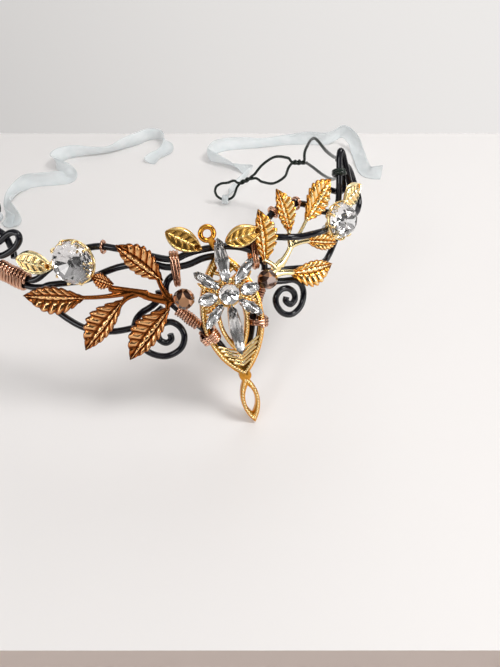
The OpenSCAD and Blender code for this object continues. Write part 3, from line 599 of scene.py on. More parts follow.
@dataclass(frozen=True)
class BeadFinish:
    """Brown cut glass whose facets are painted dark or glowing by turns, as the light each facet would
    catch.
    """

    name: str
    dark: Colour
    light: Colour
    clouds: float = 0.2

    def material(self) -> Material:
        """The finish as a material.

        Returns:
            The material.
        """
        desk = NodeDesk(self.name)
        # Each facet's stored tone, clouded by noise, paints the light it catches, from near black to
        # glowing
        clouds = desk.span(desk.noise(260), -self.clouds, self.clouds)
        tone = desk.added(desk.relief(), clouds)
        desk.feed("Base Color", desk.ramp(tone, [(0.45, self.dark), (0.95, self.light)]))
        desk.fix({"Roughness": 0.05, "Metallic": 0.55, "Coat Weight": 1, "Coat Roughness": 0.02})
        return desk.material


@dataclass(frozen=True)
class SatinFinish:
    """Pale, half clear satin ribbon with threads along and across."""

    name: str
    shade: Colour
    light: Colour
    threads_along: float = 60
    threads_across: float = 95
    thread_depth: float = 0.00002
    thread_strength: float = 0.3

    def material(self) -> Material:
        """The finish as a material.

        Returns:
            The material.
        """
        desk = NodeDesk(self.name)
        uv = desk.node("ShaderNodeTexCoord").outputs["UV"]
        threads = []
        for direction, scale in (("X", self.threads_along), ("Y", self.threads_across)):
            wave = desk.node(
                "ShaderNodeTexWave", bands_direction=direction, Scale=scale, Distortion=0.4)
            desk.link(uv, wave.inputs["Vector"])
            threads.append(wave.outputs["Fac"])
        desk.bump(desk.added(*threads), self.thread_depth, self.thread_strength)
        desk.feed("Base Color", desk.ramp(desk.noise(160), [(0.3, self.shade), (0.7, self.light)]))
        desk.fix({"Roughness": 0.42, "Sheen Weight": 0.5, "Alpha": 0.55})
        return desk.material


@dataclass(frozen=True)
class TableFinish:
    """Plain pale board of the table, or of the wall behind it, whose painted glow brightens it to the right
    as daylight from that side would.
    """

    name: str
    colour: Colour
    roughness: float
    glow: tuple[float, float] = (0, 0)
    glow_from: float = -0.34
    glow_to: float = 1.47
    shade: float = 0.985

    def material(self) -> Material:
        """The finish as a material.

        Returns:
            The material.
        """
        desk = NodeDesk(self.name)
        pale = tuple(self.shade * c for c in self.colour)
        desk.feed("Base Color", desk.ramp(desk.noise(3, 2), [(0.3, pale), (0.7, self.colour)]))
        desk.fix({"Roughness": self.roughness})
        # Painted light: the wall glows by itself, more towards the right
        if any(self.glow):
            split = desk.node("ShaderNodeSeparateXYZ")
            desk.link(desk.place(), split.inputs[0])
            spread = desk.node("ShaderNodeMapRange", **{
                "From Min": self.glow_from, "From Max": self.glow_to,
                "To Min": self.glow[0], "To Max": self.glow[1]})
            desk.link(split.outputs["X"], spread.inputs["Value"])
            desk.fix({"Emission Color": (*self.colour, 1)})
            desk.feed("Emission Strength", spread.outputs["Result"])
        return desk.material


@dataclass(frozen=True)
class Finishes:
    """Every finish of the tiara and of its table."""

    black: Material = field(default_factory=WireFinish(
        "black_wire", (0.002, 0.002, 0.004), (0.006, 0.006, 0.011), 0, (0.05, 0.1), 0.42).material)
    green: Material = field(default_factory=WireFinish(
        "green_wire", (0.004, 0.009, 0.006), (0.01, 0.02, 0.014), 0, (0.14, 0.24), 0.4).material)
    copper: Material = field(default_factory=WireFinish(
        "copper_wire", (0.34, 0.16, 0.1), (0.86, 0.52, 0.36), 1, (0.08, 0.17), 0.5, 200).material)
    # Cast metals: painted shade for sunk places, the metal's body, and painted highlight for raised places
    gold: Material = field(default_factory=CastFinish(
        "bright_gold", (0.2, 0.05, 0.003), (0.98, 0.46, 0.07), (1, 0.87, 0.5), (0.08, 0.21)).material)
    antique: Material = field(default_factory=CastFinish(
        "antique_gold", (0.2, 0.075, 0.012), (0.66, 0.38, 0.09), (1, 0.76, 0.34),
        (0.12, 0.28)).material)
    bronze: Material = field(default_factory=CastFinish(
        "copper_bronze", (0.04, 0.008, 0.002), (0.42, 0.125, 0.026), (1, 0.58, 0.26),
        (0.08, 0.22)).material)
    crystal: Material = field(default_factory=CrystalFinish(
        "clear_crystal", (0.98, 0.985, 1), 0.01, 1).material)
    foil: Material = field(default_factory=CrystalFinish(
        "stone_foil", (0.95, 0.93, 0.92), 0.06, 0, 1).material)
    petal_foil: Material = field(default_factory=CrystalFinish(
        "petal_foil", (1, 0.99, 0.98), 0.13, 0, 1).material)
    brown: Material = field(default_factory=BeadFinish(
        "brown_glass", (0.05, 0.016, 0.006), (0.95, 0.5, 0.27)).material)
    satin: Material = field(default_factory=SatinFinish(
        "ribbon_satin", (0.78, 0.84, 0.86), (0.88, 0.92, 0.935)).material)
    table: Material = field(default_factory=TableFinish(
        "table_board", (0.86, 0.837, 0.827), 0.55).material)
    # A darker, browner copy of the table board: painted shade for the table's front side
    table_side: Material = field(default_factory=TableFinish(
        "table_side", (0.6, 0.5, 0.45), 0.6).material)
    # The wall's glow is painted light, rising to the right
    wall: Material = field(default_factory=TableFinish(
        "back_wall", (0.86, 0.84, 0.825), 0.8, (0.56, 0.82)).material)


# Mesh tools


@contextmanager
def edited(mesh: bpy.types.Mesh) -> Iterator[bmesh.types.BMesh]:
    """Opens a mesh for editing and stores it when the block ends.

    Args:
        mesh: The mesh.

    Returns:
        The open mesh, once.
    """
    work = bmesh.new()
    work.from_mesh(mesh)
    yield work
    work.to_mesh(mesh)
    work.free()


def new_piece(name: str, mesh: bpy.types.Mesh) -> Piece:
    """A mesh as an object in the scene.

    Args:
        name: The object's name.
        mesh: The mesh.

    Returns:
        The object.
    """
    made = bpy.data.objects.new(name, mesh)
    bpy.context.scene.collection.objects.link(made)
    return made


def set_relief(mesh: bpy.types.Mesh, values: float | np.ndarray) -> None:
    """Stores how raised each point is, from 0 to 1, the tone that sets its painted shade and highlight.

    Args:
        mesh: The mesh.
        values: One value for all points, or one for each.
    """
    layer = mesh.attributes.get("relief") or mesh.attributes.new("relief", "FLOAT", "POINT")
    each = np.broadcast_to(np.asarray(values, np.float32), len(mesh.vertices))
    layer.data.foreach_set("value", np.ascontiguousarray(each))


def outward(mesh: bpy.types.Mesh) -> None:
    """Turns a closed shell's faces outwards.

    Args:
        mesh: The shell.
    """
    with edited(mesh) as work:
        if work.calc_volume(signed=True) < 0:
            bmesh.ops.reverse_faces(work, faces=work.faces)


def fused(name: str, parts: Sequence[Piece]) -> Piece:
    """Joins pieces into one.

    Args:
        name: The joined piece's name.
        parts: The pieces; they are used up.

    Returns:
        The joined piece.
    """
    for part in parts:
        if "relief" not in part.data.attributes:
            set_relief(part.data, PLAIN_RELIEF)
    with bpy.context.temp_override(active_object=parts[0], selected_editable_objects=list(parts)):
        bpy.ops.object.join()
    parts[0].name = name
    parts[0].data.name = name
    return parts[0]


def carried(piece: Piece, pose: Pose) -> Piece:
    """Moves a piece's own points into a pose."""
    piece.data.transform(pose_matrix(pose))
    return piece


def settled(piece: Piece) -> Piece:
    """Turns a piece with modifiers into a plain mesh.

    Args:
        piece: The piece.

    Returns:
        The same piece, with its modifiers applied and removed.
    """
    graph = bpy.context.evaluated_depsgraph_get()
    mesh = bpy.data.meshes.new_from_object(piece.evaluated_get(graph))
    piece.modifiers.clear()
    piece.data = mesh
    mesh.name = piece.name
    if "girth" in mesh.attributes:
        mesh.attributes.remove(mesh.attributes["girth"])
    outward(mesh)
    return piece


def shell(
    name: str, top: np.ndarray, bottom: np.ndarray, material: Material,
    relief: np.ndarray | None = None, uv: np.ndarray | None = None,
) -> Piece:
    """A closed sheet between two grids of points.

    Args:
        name: The piece's name.
        top: Its upper points, in millimetres: rows, columns, 3.
        bottom: Its lower points, in the same order.
        material: Its finish.
        relief: How raised each upper point is, the tone that sets its painted shade and highlight.
        uv: Flat place of each upper point, two numbers each.

    Returns:
        The piece.
    """
    n, m = top.shape[:2]
    size = n * m
    i, j = np.meshgrid(np.arange(n - 1), np.arange(m - 1), indexing="ij")
    a = (i * m + j).ravel()
    upper = np.stack([a, a + m, a + m + 1, a + 1], -1)
    lower = size + upper[:, ::-1]
    rim = np.concatenate([
        np.arange(m), m * np.arange(1, n) + m - 1, (n - 1) * m + np.arange(m - 2, -1, -1),
        m * np.arange(n - 2, 0, -1)])
    after = np.roll(rim, -1)
    wall = np.stack([rim, after, after + size, rim + size], -1)
    points = np.concatenate([top.reshape(-1, 3), bottom.reshape(-1, 3)]) * MM
    mesh = bpy.data.meshes.new(name)
    mesh.from_pydata(points.tolist(), [], np.concatenate([upper, lower, wall]).tolist())
    if uv is not None:
        flat = np.tile(uv.reshape(-1, 2), (2, 1))
        corners = np.empty(len(mesh.loops), np.int32)
        mesh.loops.foreach_get("vertex_index", corners)
        layer = mesh.uv_layers.new(name="UVMap")
        layer.data.foreach_set("uv", flat[corners].astype(np.float32).ravel())
    if relief is not None:
        set_relief(mesh, np.concatenate([relief.ravel(), np.full(size, BACK_RELIEF)]))
    mesh.materials.append(material)
    mesh.shade_smooth()
    outward(mesh)
    return new_piece(name, mesh)


def cut_stone(
    name: str, rings: Sequence[np.ndarray], pose: Pose, face: Material,
    back: Material | None = None, back_slope: float = -0.05,
) -> Piece:
    """A stone with flat facets through rings of points.

    Args:
        name: The piece's name.
        rings: Rings of local points, in millimetres.
        pose: Where the stone sits.
        face: Its finish.
        back: The finish of the facets that face the setting.
        back_slope: Those are the facets whose normals reach lower than this.

    Returns:
        The piece.
    """
    work = bmesh.new()
    for p in np.concatenate(rings):
        work.verts.new(Vector(p * MM))
    found = bmesh.ops.convex_hull(work, input=work.verts)
    inner = [v for v in found["geom_interior"] if isinstance(v, bmesh.types.BMVert)]
    bmesh.ops.delete(work, geom=inner, context="VERTS")
    bmesh.ops.dissolve_limit(work, angle_limit=math.radians(1), verts=work.verts, edges=work.edges)
    bmesh.ops.recalc_face_normals(work, faces=work.faces)
    if back is not None:
        for f in work.faces:
            f.material_index = int(f.normal.z < back_slope)
    work.transform(pose_matrix(pose))
    mesh = bpy.data.meshes.new(name)
    work.to_mesh(mesh)
    work.free()
    for material in filter(None, (face, back)):
        mesh.materials.append(material)
    outward(mesh)
    return new_piece(name, mesh)


def brilliant(width: float, cut: Rows) -> list[np.ndarray]:
    """The rings of a round cut stone.

    Args:
        width: The stone's width.
        cut: Rows of share of the width, height, points, and turn in steps between points.

    Returns:
        The rings, from its back to its table.
    """
    return [ring(width * share, height, sides, turn) for share, height, sides, turn in cut]


class NodeTool:
    """A Geometry Nodes tree with named inputs, which ends in a plain mesh with its finish on."""

    def __init__(self, name: str, inputs: dict[str, str]) -> None:
        """Starts the tree.

        Args:
            name: The tree's name.
            inputs: The kind of each input after the piece itself, by its name.
        """
        self.tree = bpy.data.node_groups.new(name, "GeometryNodeTree")
        face = self.tree.interface
        face.new_socket("Piece", in_out="INPUT", socket_type="NodeSocketGeometry")
        self.keys = {
            key: face.new_socket(key, in_out="INPUT", socket_type=f"NodeSocket{kind}").identifier
            for key, kind in (inputs | {"Finish": "Material"}).items()}
        face.new_socket("Result", in_out="OUTPUT", socket_type="NodeSocketGeometry")
        self.start = self.tree.nodes.new("NodeGroupInput")

    def node(self, kind: str, inputs: dict[str | int, object], **settings: object) -> bpy.types.Node:
        """Adds a node.

        Args:
            kind: The node's type.
            inputs: What each input is linked or set to.
            settings: The node's own properties.

        Returns:
            The node.
        """
        made = self.tree.nodes.new(kind)
        for key, value in settings.items():
            setattr(made, key, value)
        for key, value in inputs.items():
            if isinstance(value, Socket):
                self.tree.links.new(value, made.inputs[key])
            else:
                made.inputs[key].default_value = value
        return made

    def end(self, result: Socket) -> None:
        """Ends the tree in a realised mesh with its finish.

        Args:
            result: The geometry.
        """
        real = self.node("GeometryNodeRealizeInstances", {0: result})
        paint = self.node("GeometryNodeSetMaterial", {
            "Geometry": real.outputs[0], "Material": self.start.outputs["Finish"]})
        self.node("NodeGroupOutput", {0: paint.outputs[0]})

    def applied(self, piece: Piece, values: dict[str, object]) -> Piece:
        """Runs the tree on a piece.

        Args:
            piece: The piece.
            values: What each input is set to.

        Returns:
            The piece as a plain mesh.
        """
        modifier = piece.modifiers.new("tool", "NODES")
        modifier.node_group = self.tree
        for key, value in values.items():
            modifier[self.keys[key]] = value
        return settled(piece)


class WireTool(NodeTool):
    """Draws round wire along a path, a little narrower at its cut ends."""

    # Share of the full width at a cut end, and of the first step in which the full width is reached
    end_width = 0.72
    end_run = 0.4

    def __init__(self) -> None:
        """Builds the tree."""
        super().__init__("wire_along_path", {"Wire radius": "Float", "Sides": "Int"})
        curve = self.node("GeometryNodeMeshToCurve", {0: self.start.outputs["Piece"]})
        girth = self.node("GeometryNodeInputNamedAttribute", {"Name": "girth"}, data_type="FLOAT")
        circle = self.node("GeometryNodeCurvePrimitiveCircle", {
            "Resolution": self.start.outputs["Sides"], "Radius": self.start.outputs["Wire radius"]})
        sweep = self.node("GeometryNodeCurveToMesh", {
            "Curve": curve.outputs[0], "Profile Curve": circle.outputs["Curve"],
            "Scale": girth.outputs["Attribute"], "Fill Caps": True})
        shade = self.node("GeometryNodeSetShadeSmooth", {0: sweep.outputs[0]})
        self.end(shade.outputs[0])

    def draw(
        self, name: str, strands: Sequence[np.ndarray], radius: float, sides: int,
        finish: Material, closed: bool = False,
    ) -> Piece:
        """Draws wire along one or more paths.

        Args:
            name: The piece's name.
            strands: Paths of points in millimetres.
            radius: The wire's radius in millimetres.
            sides: Sides of its section.
            finish: Its material.
            closed: Whether each path joins its own start.

        Returns:
            The piece.
        """
        points, edges, girth = [], [], []
        for path in strands:
            width = np.ones(len(path) if closed else len(path) + 2)
            if not closed:
                width[[0, -1]] = self.end_width
                start = path[0] + (path[1] - path[0]) * self.end_run
                stop = path[-1] + (path[-2] - path[-1]) * self.end_run
                path = np.concatenate([path[:1], [start], path[1:-1], [stop], path[-1:]])
            first, n = len(points), len(path)
            points.extend((path * MM).tolist())
            girth.extend(width)
            edges.extend((first + k, first + k + 1) for k in range(n - 1))
            if closed:
                edges.append((first + n - 1, first))
        mesh = bpy.data.meshes.new(name)
        mesh.from_pydata(points, edges, [])
        layer = mesh.attributes.new("girth", "FLOAT", "POINT")
        layer.data.foreach_set("value", np.array(girth, np.float32))
        return self.applied(
            new_piece(name, mesh), {"Wire radius": radius * MM, "Sides": sides, "Finish": finish})


class RingTool(NodeTool):
    """Repeats a piece round an axis, such as the prongs of a setting."""

    def __init__(self) -> None:
        """Builds the tree."""
        super().__init__("repeat_round_axis", {"Count": "Int"})
        count = self.start.outputs["Count"]
        centre = self.node("GeometryNodeMeshCircle", {"Vertices": count, "Radius": 0})
        index = self.node("GeometryNodeInputIndex", {})
        share = self.node("ShaderNodeMath", {0: index.outputs[0], 1: count}, operation="DIVIDE")
        turn = self.node("ShaderNodeMath", {0: share.outputs[0], 1: TAU}, operation="MULTIPLY")
        angles = self.node("ShaderNodeCombineXYZ", {"Z": turn.outputs[0]})
        copies = self.node("GeometryNodeInstanceOnPoints", {
            "Points": centre.outputs[0], "Instance": self.start.outputs["Piece"],
            "Rotation": angles.outputs[0]})
        self.end(copies.outputs[0])

    def repeat(self, piece: Piece, count: int, finish: Material) -> Piece:
        """Repeats a piece round the Z axis.

        Args:
            piece: The piece, off the axis.
            count: How many there are in the ring.
            finish: Their material.

        Returns:
            The ring as one plain piece.
        """
        return self.applied(piece, {"Count": count, "Finish": finish})


@dataclass
class Workshop:
    """The tools and finishes that the pieces share, and the record of what was made."""

    finishes: Finishes = field(default_factory=Finishes)
    wire: WireTool = field(default_factory=WireTool)
    rings: RingTool = field(default_factory=RingTool)
    made: list[str] = field(default_factory=list)

    def fit(self, piece: Piece, node: str, slot: str) -> Piece:
        """Puts a finished piece in place of its solid.

        Args:
            piece: The piece.
            node: The solid that it stands for.
            slot: Its material slot in the record; it is not used.

        Returns:
            The piece.
        """
        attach(piece, ROOT)
        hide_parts(node)
        self.made.append(node)
        log.info("%s: %d faces", piece.name, len(piece.data.polygons))
        return piece


# Sub-assemblies


@dataclass
class FrameWires:
    """The black wires of the front."""

    shop: Workshop
    radius: float = 1
    sides: int = 18
    steps: int = 8

    def build(self) -> None:
        """Draws each wire along its rows."""
        for node, rows in WIRE_ROWS.items():
            path = BAND.place(smooth(rows, self.steps))
            piece = self.shop.wire.draw(
                f"{node}_round", [path], self.radius, self.sides, self.shop.finishes.black)
            self.shop.fit(piece, node, "black_wire")


@dataclass
class Arms:
    """The two side arms: strands that part into cells, twist together and end in a loop."""

    shop: Workshop
    radius: float = 0.65
    sides: int = 12
    plain_steps: int = 8
    twisted_steps: int = 20

    def strand(self, rows: Rows, side: int) -> np.ndarray:
        """One strand of an arm.

        Args:
            rows: The arm's rows.
            side: Which strand, 1 or -1.

        Returns:
            Its path.
        """
        fine = []
        table = np.asarray(rows, float)
        for i in range(len(table) - 1):
            steps = self.plain_steps if table[i, 4] == table[i + 1, 4] else self.twisted_steps
            before = max(i - 1, 0)
            first = steps * (i - before)
            fine.extend(smooth(table[before:i + 3], steps)[first:first + steps])
        p = np.array(fine)
        d = units(np.gradient(p[:, :2], axis=0))
        across = np.stack([d[:, 1], -d[:, 0], np.zeros(len(d))], -1)
        turn = np.radians(p[:, 4:5])
        return p[:, :3] + side * p[:, 3:4] * (np.cos(turn) * UP + np.sin(turn) * across)

    def build(self) -> None:
        """Draws both arms."""
        for side, rows in ARM_ROWS.items():
            tip = np.array([rows[-1][:3]], float)
            path = np.concatenate([self.strand(rows, 1), tip, self.strand(rows, -1)[::-1]]) - FOOT
            name = f"arm_{side.value}"
            piece = self.shop.wire.draw(
                f"{name}_round", [path], self.radius, self.sides, self.shop.finishes.green)
            self.shop.fit(piece, name, "green_wire")


@dataclass(frozen=True)
class Winding:
    """One winding: where it starts and ends on the pattern, and what it is wound on."""

    node: str
    start: Place
    end: Place
    half_a: float
    half_b: float
    turns: int
    wire: float = 0.8
    slot: str = "copper_wire"


@dataclass
class Windings:
    """The copper coils, wraps and bindings, and the green wraps of the arms.

    A winding starts the share `first_turn` round the slot and leaves `open_turn` of its last turn out. A
    single turn runs over the middle `single_run` of its length.
    """

    shop: Workshop
    per_turn: int = 26
    sides: int = 10
    corner: float = 1.5
    slot_points: int = 240
    first_turn: float = 0.6
    open_turn: float = 0.35
    least_turns: float = 1.1
    single_start: float = 0.35
    single_run: float = 0.3
    wobble: float = 0.1
    wobble_rate: float = 5.1
    table: tuple[Winding, ...] = (
        Winding("coil_side_left", (-78.8, 51.55, 0), (-67.6, 47.85, 0), 2.3, 1.2, 9, 1),
        Winding("coil_side_right", (53.2, 51.75, 0), (60.6, 51.75, 0), 2.4, 1.2, 6, 1),
        Winding("coil_lower_left", (-18, 41, 0), (-10.9, 33.9, 0), 1.2, 1.2, 10),
        Winding("coil_lower_right", (12, 43.25, 0), (9, 37.7, 0), 1.2, 1.2, 7),
        Winding("wrap_lower_left", (-9.3, 33, 1.75), (-7.2, 29.3, 1.75), 2.2, 3.1, 4, 0.95),
        Winding("wrap_lower_right", (8.15, 34.9, 1.8), (7.6, 31.3, 1.8), 2.25, 3.2, 3, 0.95),
        Winding("binding_left", (-18.2, 52.6, 0), (-14.2, 52.6, 0), 4.4, 1.2, 3, 1),
        Winding("binding_right", (9, 55, 0), (12.4, 55, 0), 5.7, 1.2, 3, 1),
        Winding("wrap_upper_left", (-39.7, 60.15, 0), (-38.7, 60.05, 0), 1.2, 1.2, 1),
        Winding("wrap_tip_inner", (19.4, 63.3, 0), (21, 64.1, 0), 1.2, 1.2, 2),
        Winding("wrap_tip_outer", (29.6, 64.5, 0), (31.2, 64.3, 0), 1.2, 1.2, 2),
        Winding("arm_wrap_left", (-88.4, 55.1, 0), (-88.3, 57.7, 0), 1.2, 1.2, 2, 1.3, "green_wire"),
        Winding("arm_wrap_right", (55.55, 66.9, 0.6), (56.6, 69.4, 0.6), 1.2, 1.2, 2, 1.3, "green_wire"))

    def section(self, winding: Winding) -> Callable[[np.ndarray], np.ndarray]:
        """The rounded slot that the wire's middle goes round.

        Args:
            winding: The winding.

        Returns:
            A function from a share of one turn to [across, deep].
        """
        r = min(winding.half_b, self.corner)
        a = TAU * np.arange(self.slot_points) / self.slot_points
        reach = r + winding.wire / 2
        points = np.stack([
            (winding.half_a - r) * np.sign(np.cos(a).round(6)) + reach * np.cos(a),
            (winding.half_b - r) * np.sign(np.sin(a).round(6)) + reach * np.sin(a)], -1)
        points = np.concatenate([points, points[:1]])
        run = run_along(points)
        run /= run[-1]
        return lambda share: np.stack([
            np.interp(share % 1, run, points[:, 0]), np.interp(share % 1, run, points[:, 1])], -1)

    def path(self, winding: Winding) -> np.ndarray:
        """The path of the wound wire.

        Args:
            winding: The winding.

        Returns:
            Its points.
        """
        a, b = np.array(winding.start, float), np.array(winding.end, float)
        pitch = 1 / winding.turns
        share = np.linspace(0, 1, self.per_turn * winding.turns + 1)
        if winding.turns > 1:
            along = 0.5 * pitch + share * (1 - pitch)
        else:
            along = self.single_start + self.single_run * share
        loops = share * max(winding.turns - self.open_turn, self.least_turns)
        flat = self.section(winding)(loops + self.first_turn)
        t = unit(b - a)
        s = unit(np.cross(UP, t))
        r = np.cross(t, s)
        wobble = self.wobble * np.sin(loops * self.wobble_rate)[:, None]
        return BAND.place(a + (b - a) * along[:, None] + (flat[:, :1] + wobble) * s + flat[:, 1:] * r)

    def build(self) -> None:
        """Winds every winding."""
        metals = {"green_wire": self.shop.finishes.green, "copper_wire": self.shop.finishes.copper}
        for winding in self.table:
            piece = self.shop.wire.draw(
                f"{winding.node}_wound", [self.path(winding)], winding.wire / 2, self.sides,
                metals[winding.slot])
            self.shop.fit(piece, winding.node, winding.slot)


@dataclass
class LeafSprays:
    """One leaf spray: toothed, ribbed leaves on smooth forking stems."""

    shop: Workshop
    side: Side
    stations: int = 96
    columns: int = 33
    # Outline: teeth, the shares of a tooth that rise and fall, how far they cut in, and the foot's width
    teeth: int = 8
    tooth_rise: float = 0.78
    tooth_fall: float = 0.22
    tooth_root: float = 0.84
    tooth_depth: float = 0.16
    foot_width: float = 0.05
    # Relief: slant and height of the lobes between the ribs, the groove by the midrib, midrib and rim
    slant: float = 0.13
    lobe_height: float = 0.82
    groove_at: float = 0.2
    groove_width: float = 0.09
    midrib_width: float = 0.1
    midrib_fade: float = 0.35
    rim_at: float = 0.86
    rim_width: float = 0.14
    rim_drop: float = 0.7
    # Sheet: how far it cups up, how far its rim curls back down, its faces above and below its
    # middle, and its tones, from painted shade where it is sunk to painted highlight where it is raised
    cup: float = 1.25
    cup_curl: float = 0.45
    face_rise: float = 0.1
    face_relief: float = 0.75
    face_drop: float = 0.3
    sunk_tone: float = 0.04
    tone_span: float = 0.92
    # Stems: their grid, run past both ends, rounding, bend, waist, bulge, and lift from one to the next
    stem_stations: int = 30
    stem_columns: int = 13
    stem_run: tuple[float, float] = (-0.06, 1.06)
    stem_cap: float = 0.0601
    stem_bend: float = 0.35
    stem_waist: float = 0.22
    stem_low: float = 0.1
    stem_bulge: float = 0.75
    stem_belly: float = 0.2
    stem_lift: float = 0.05
    # Blending of the forks: grid, softening, and the stems' one tone on each side, on the ramp from painted
    # shade to painted highlight
    voxel: float = 0.13
    soft_share: float = 0.5
    soft_rounds: int = 14
    stem_tone_left: float = 0.3
    stem_tone_right: float = 0.8

    def _finish(self) -> Material:
        """The spray's metal."""
        return self.shop.finishes.bronze if self.side is Side.LEFT else self.shop.finishes.gold

    def _relief(self, s: np.ndarray, c: np.ndarray, swell: np.ndarray) -> np.ndarray:
        """How raised a leaf is.

        Args:
            s: Shares of its length, down a column.
            c: Shares of its half width, along a row.
            swell: Its width at each share of its length.

        Returns:
            The relief over the grid, from 0 to 1.
        """
        phase = (self.teeth * (s + self.slant * (1 - np.abs(c)))) % 1
        lobe = np.sin(math.pi * phase) ** 0.75 * np.clip(1.3 * swell, 0, 1)
        groove = bell(np.abs(c), self.groove_at, self.groove_width)
        midrib = bell(c, 0, self.midrib_width) * (1 - self.midrib_fade * s)
        rim = np.clip((np.abs(c) - self.rim_at) / self.rim_width, 0, 1)
        return np.clip(
            self.lobe_height * lobe * (1 - groove) * (1 - self.rim_drop * rim) + midrib, 0, 1)

    def leaf(self, row: Sequence[float], index: int) -> Piece:
        """One stamped leaf.

        Args:
            row: The leaf's row.
            index: Its number, for its name.

        Returns:
            The leaf.
        """
        foot, tip = np.array(row[:2]), np.array(row[2:4])
        span = tip - foot
        d = unit(span)
        across = np.array([-d[1], d[0]])
        s = np.linspace(0.0, 1, self.stations)[:, None]
        c = np.linspace(1.0, -1, self.columns)[None, :]
        c = np.sign(c) * np.abs(c) ** 0.9
        swell = np.maximum(self.foot_width, np.sin(math.pi * s ** 1.05)) ** 0.92
        phase = (self.teeth * s) % 1
        tooth = np.where(
            phase < self.tooth_rise, np.sin(0.5 * math.pi * phase / self.tooth_rise),
            np.cos(0.5 * math.pi * (phase - self.tooth_rise) / self.tooth_fall))
        edge = swell * (self.tooth_root + self.tooth_depth * tooth)
        half = np.where(c > 0, row[4], row[5]) * edge
        raised = self._relief(s, c, swell)
        cup = np.sin(math.pi * s) * (
            self.cup * np.abs(c) ** 1.2 - self.cup_curl * np.abs(c) ** 6)
        middle = row[6] + (row[7] - row[6]) * s + cup
        flat = foot + span * s[..., None] + across * (c * half)[..., None]
        # The top's tone paints shade where the leaf is sunk and highlight where it is raised
        return shell(
            f"leaf_{index}", BAND.place(lifted(flat, middle + self.face_rise + self.face_relief * raised)),
            BAND.place(lifted(flat, middle - self.face_drop)), self._finish(),
            self.sunk_tone + self.tone_span * raised)

    def stem(self, row: Sequence[float], index: int) -> Piece:
        """One smooth stem, wider where it forks.

        Args:
            row: The stem's row.
            index: Its number, for its name and its lift.

        Returns:
            The stem.
        """
        a, b = np.array(row[:2]), np.array(row[2:4])
        d = unit(b - a)
        across = np.array([-d[1], d[0]])
        s = np.linspace(*self.stem_run, self.stem_stations)[:, None]
        c = np.linspace(1, -1, self.stem_columns)[None, :]
        inside = np.clip(s, 0, 1)
        past = np.maximum(np.abs(s - 0.5) - 0.5, 0) / self.stem_cap
        cap = np.sqrt(np.clip(1 - past ** 2, 0.02, 1))
        waist = 1 - self.stem_waist * np.sin(math.pi * inside)
        half = 0.5 * (row[4] + (row[5] - row[4]) * inside) * waist * cap
        bulge = np.sqrt(np.clip(1 - c * c, 0, 1))
        bend = self.stem_bend * (-1) ** index * np.sin(math.pi * inside)
        flat = a + (b - a) * s[..., None] + across * (c * half + bend)[..., None]
        level = STEM_W[self.side] + self.stem_lift * (index % 3) - self.stem_low
        return shell(
            f"stem_{index}", BAND.place(lifted(flat, level + self.stem_bulge * bulge * cap)),
            BAND.place(lifted(flat, level - self.stem_belly * bulge * cap)), self._finish())

    def forks(self) -> Piece:
        """All the stems as one casting, with their forks blended.

        Returns:
            The casting.
        """
        stems = fused("stems", [self.stem(row, k) for k, row in enumerate(STEM_ROWS[self.side])])
        grid = stems.modifiers.new("blend", "REMESH")
        grid.mode = "VOXEL"
        grid.voxel_size = self.voxel * MM
        grid.use_smooth_shade = True
        soft = stems.modifiers.new("soften", "SMOOTH")
        soft.factor = self.soft_share
        soft.iterations = self.soft_rounds
        settled(stems)
        # One tone for all the stems of a side: darker on the left, near the painted highlight on the right
        set_relief(stems.data, self.stem_tone_left if self.side is Side.LEFT else self.stem_tone_right)
        stems.data.materials.clear()
        stems.data.materials.append(self._finish())
        return stems

    def build(self) -> None:
        """Makes the leaves and stems and joins them."""
        parts = [self.leaf(row, k) for k, row in enumerate(LEAF_ROWS[self.side])]
        parts.append(self.forks())
        name = f"branch_{self.side.value}"
        slot = "bronze_leaf" if self.side is Side.LEFT else "gold"
        self.shop.fit(fused(f"{name}_spray", parts), name, slot)


@dataclass(frozen=True)
class LeafBead:
    """Place and size of one cast leaf bead, and whether it takes the bright gold and a lighter field
    instead of the antique gold: painted highlight for the light that its field catches.
    """

    node: str
    at: Place
    spin: float
    long: float
    wide: float
    thick: float = 2.6
    bright: bool = False


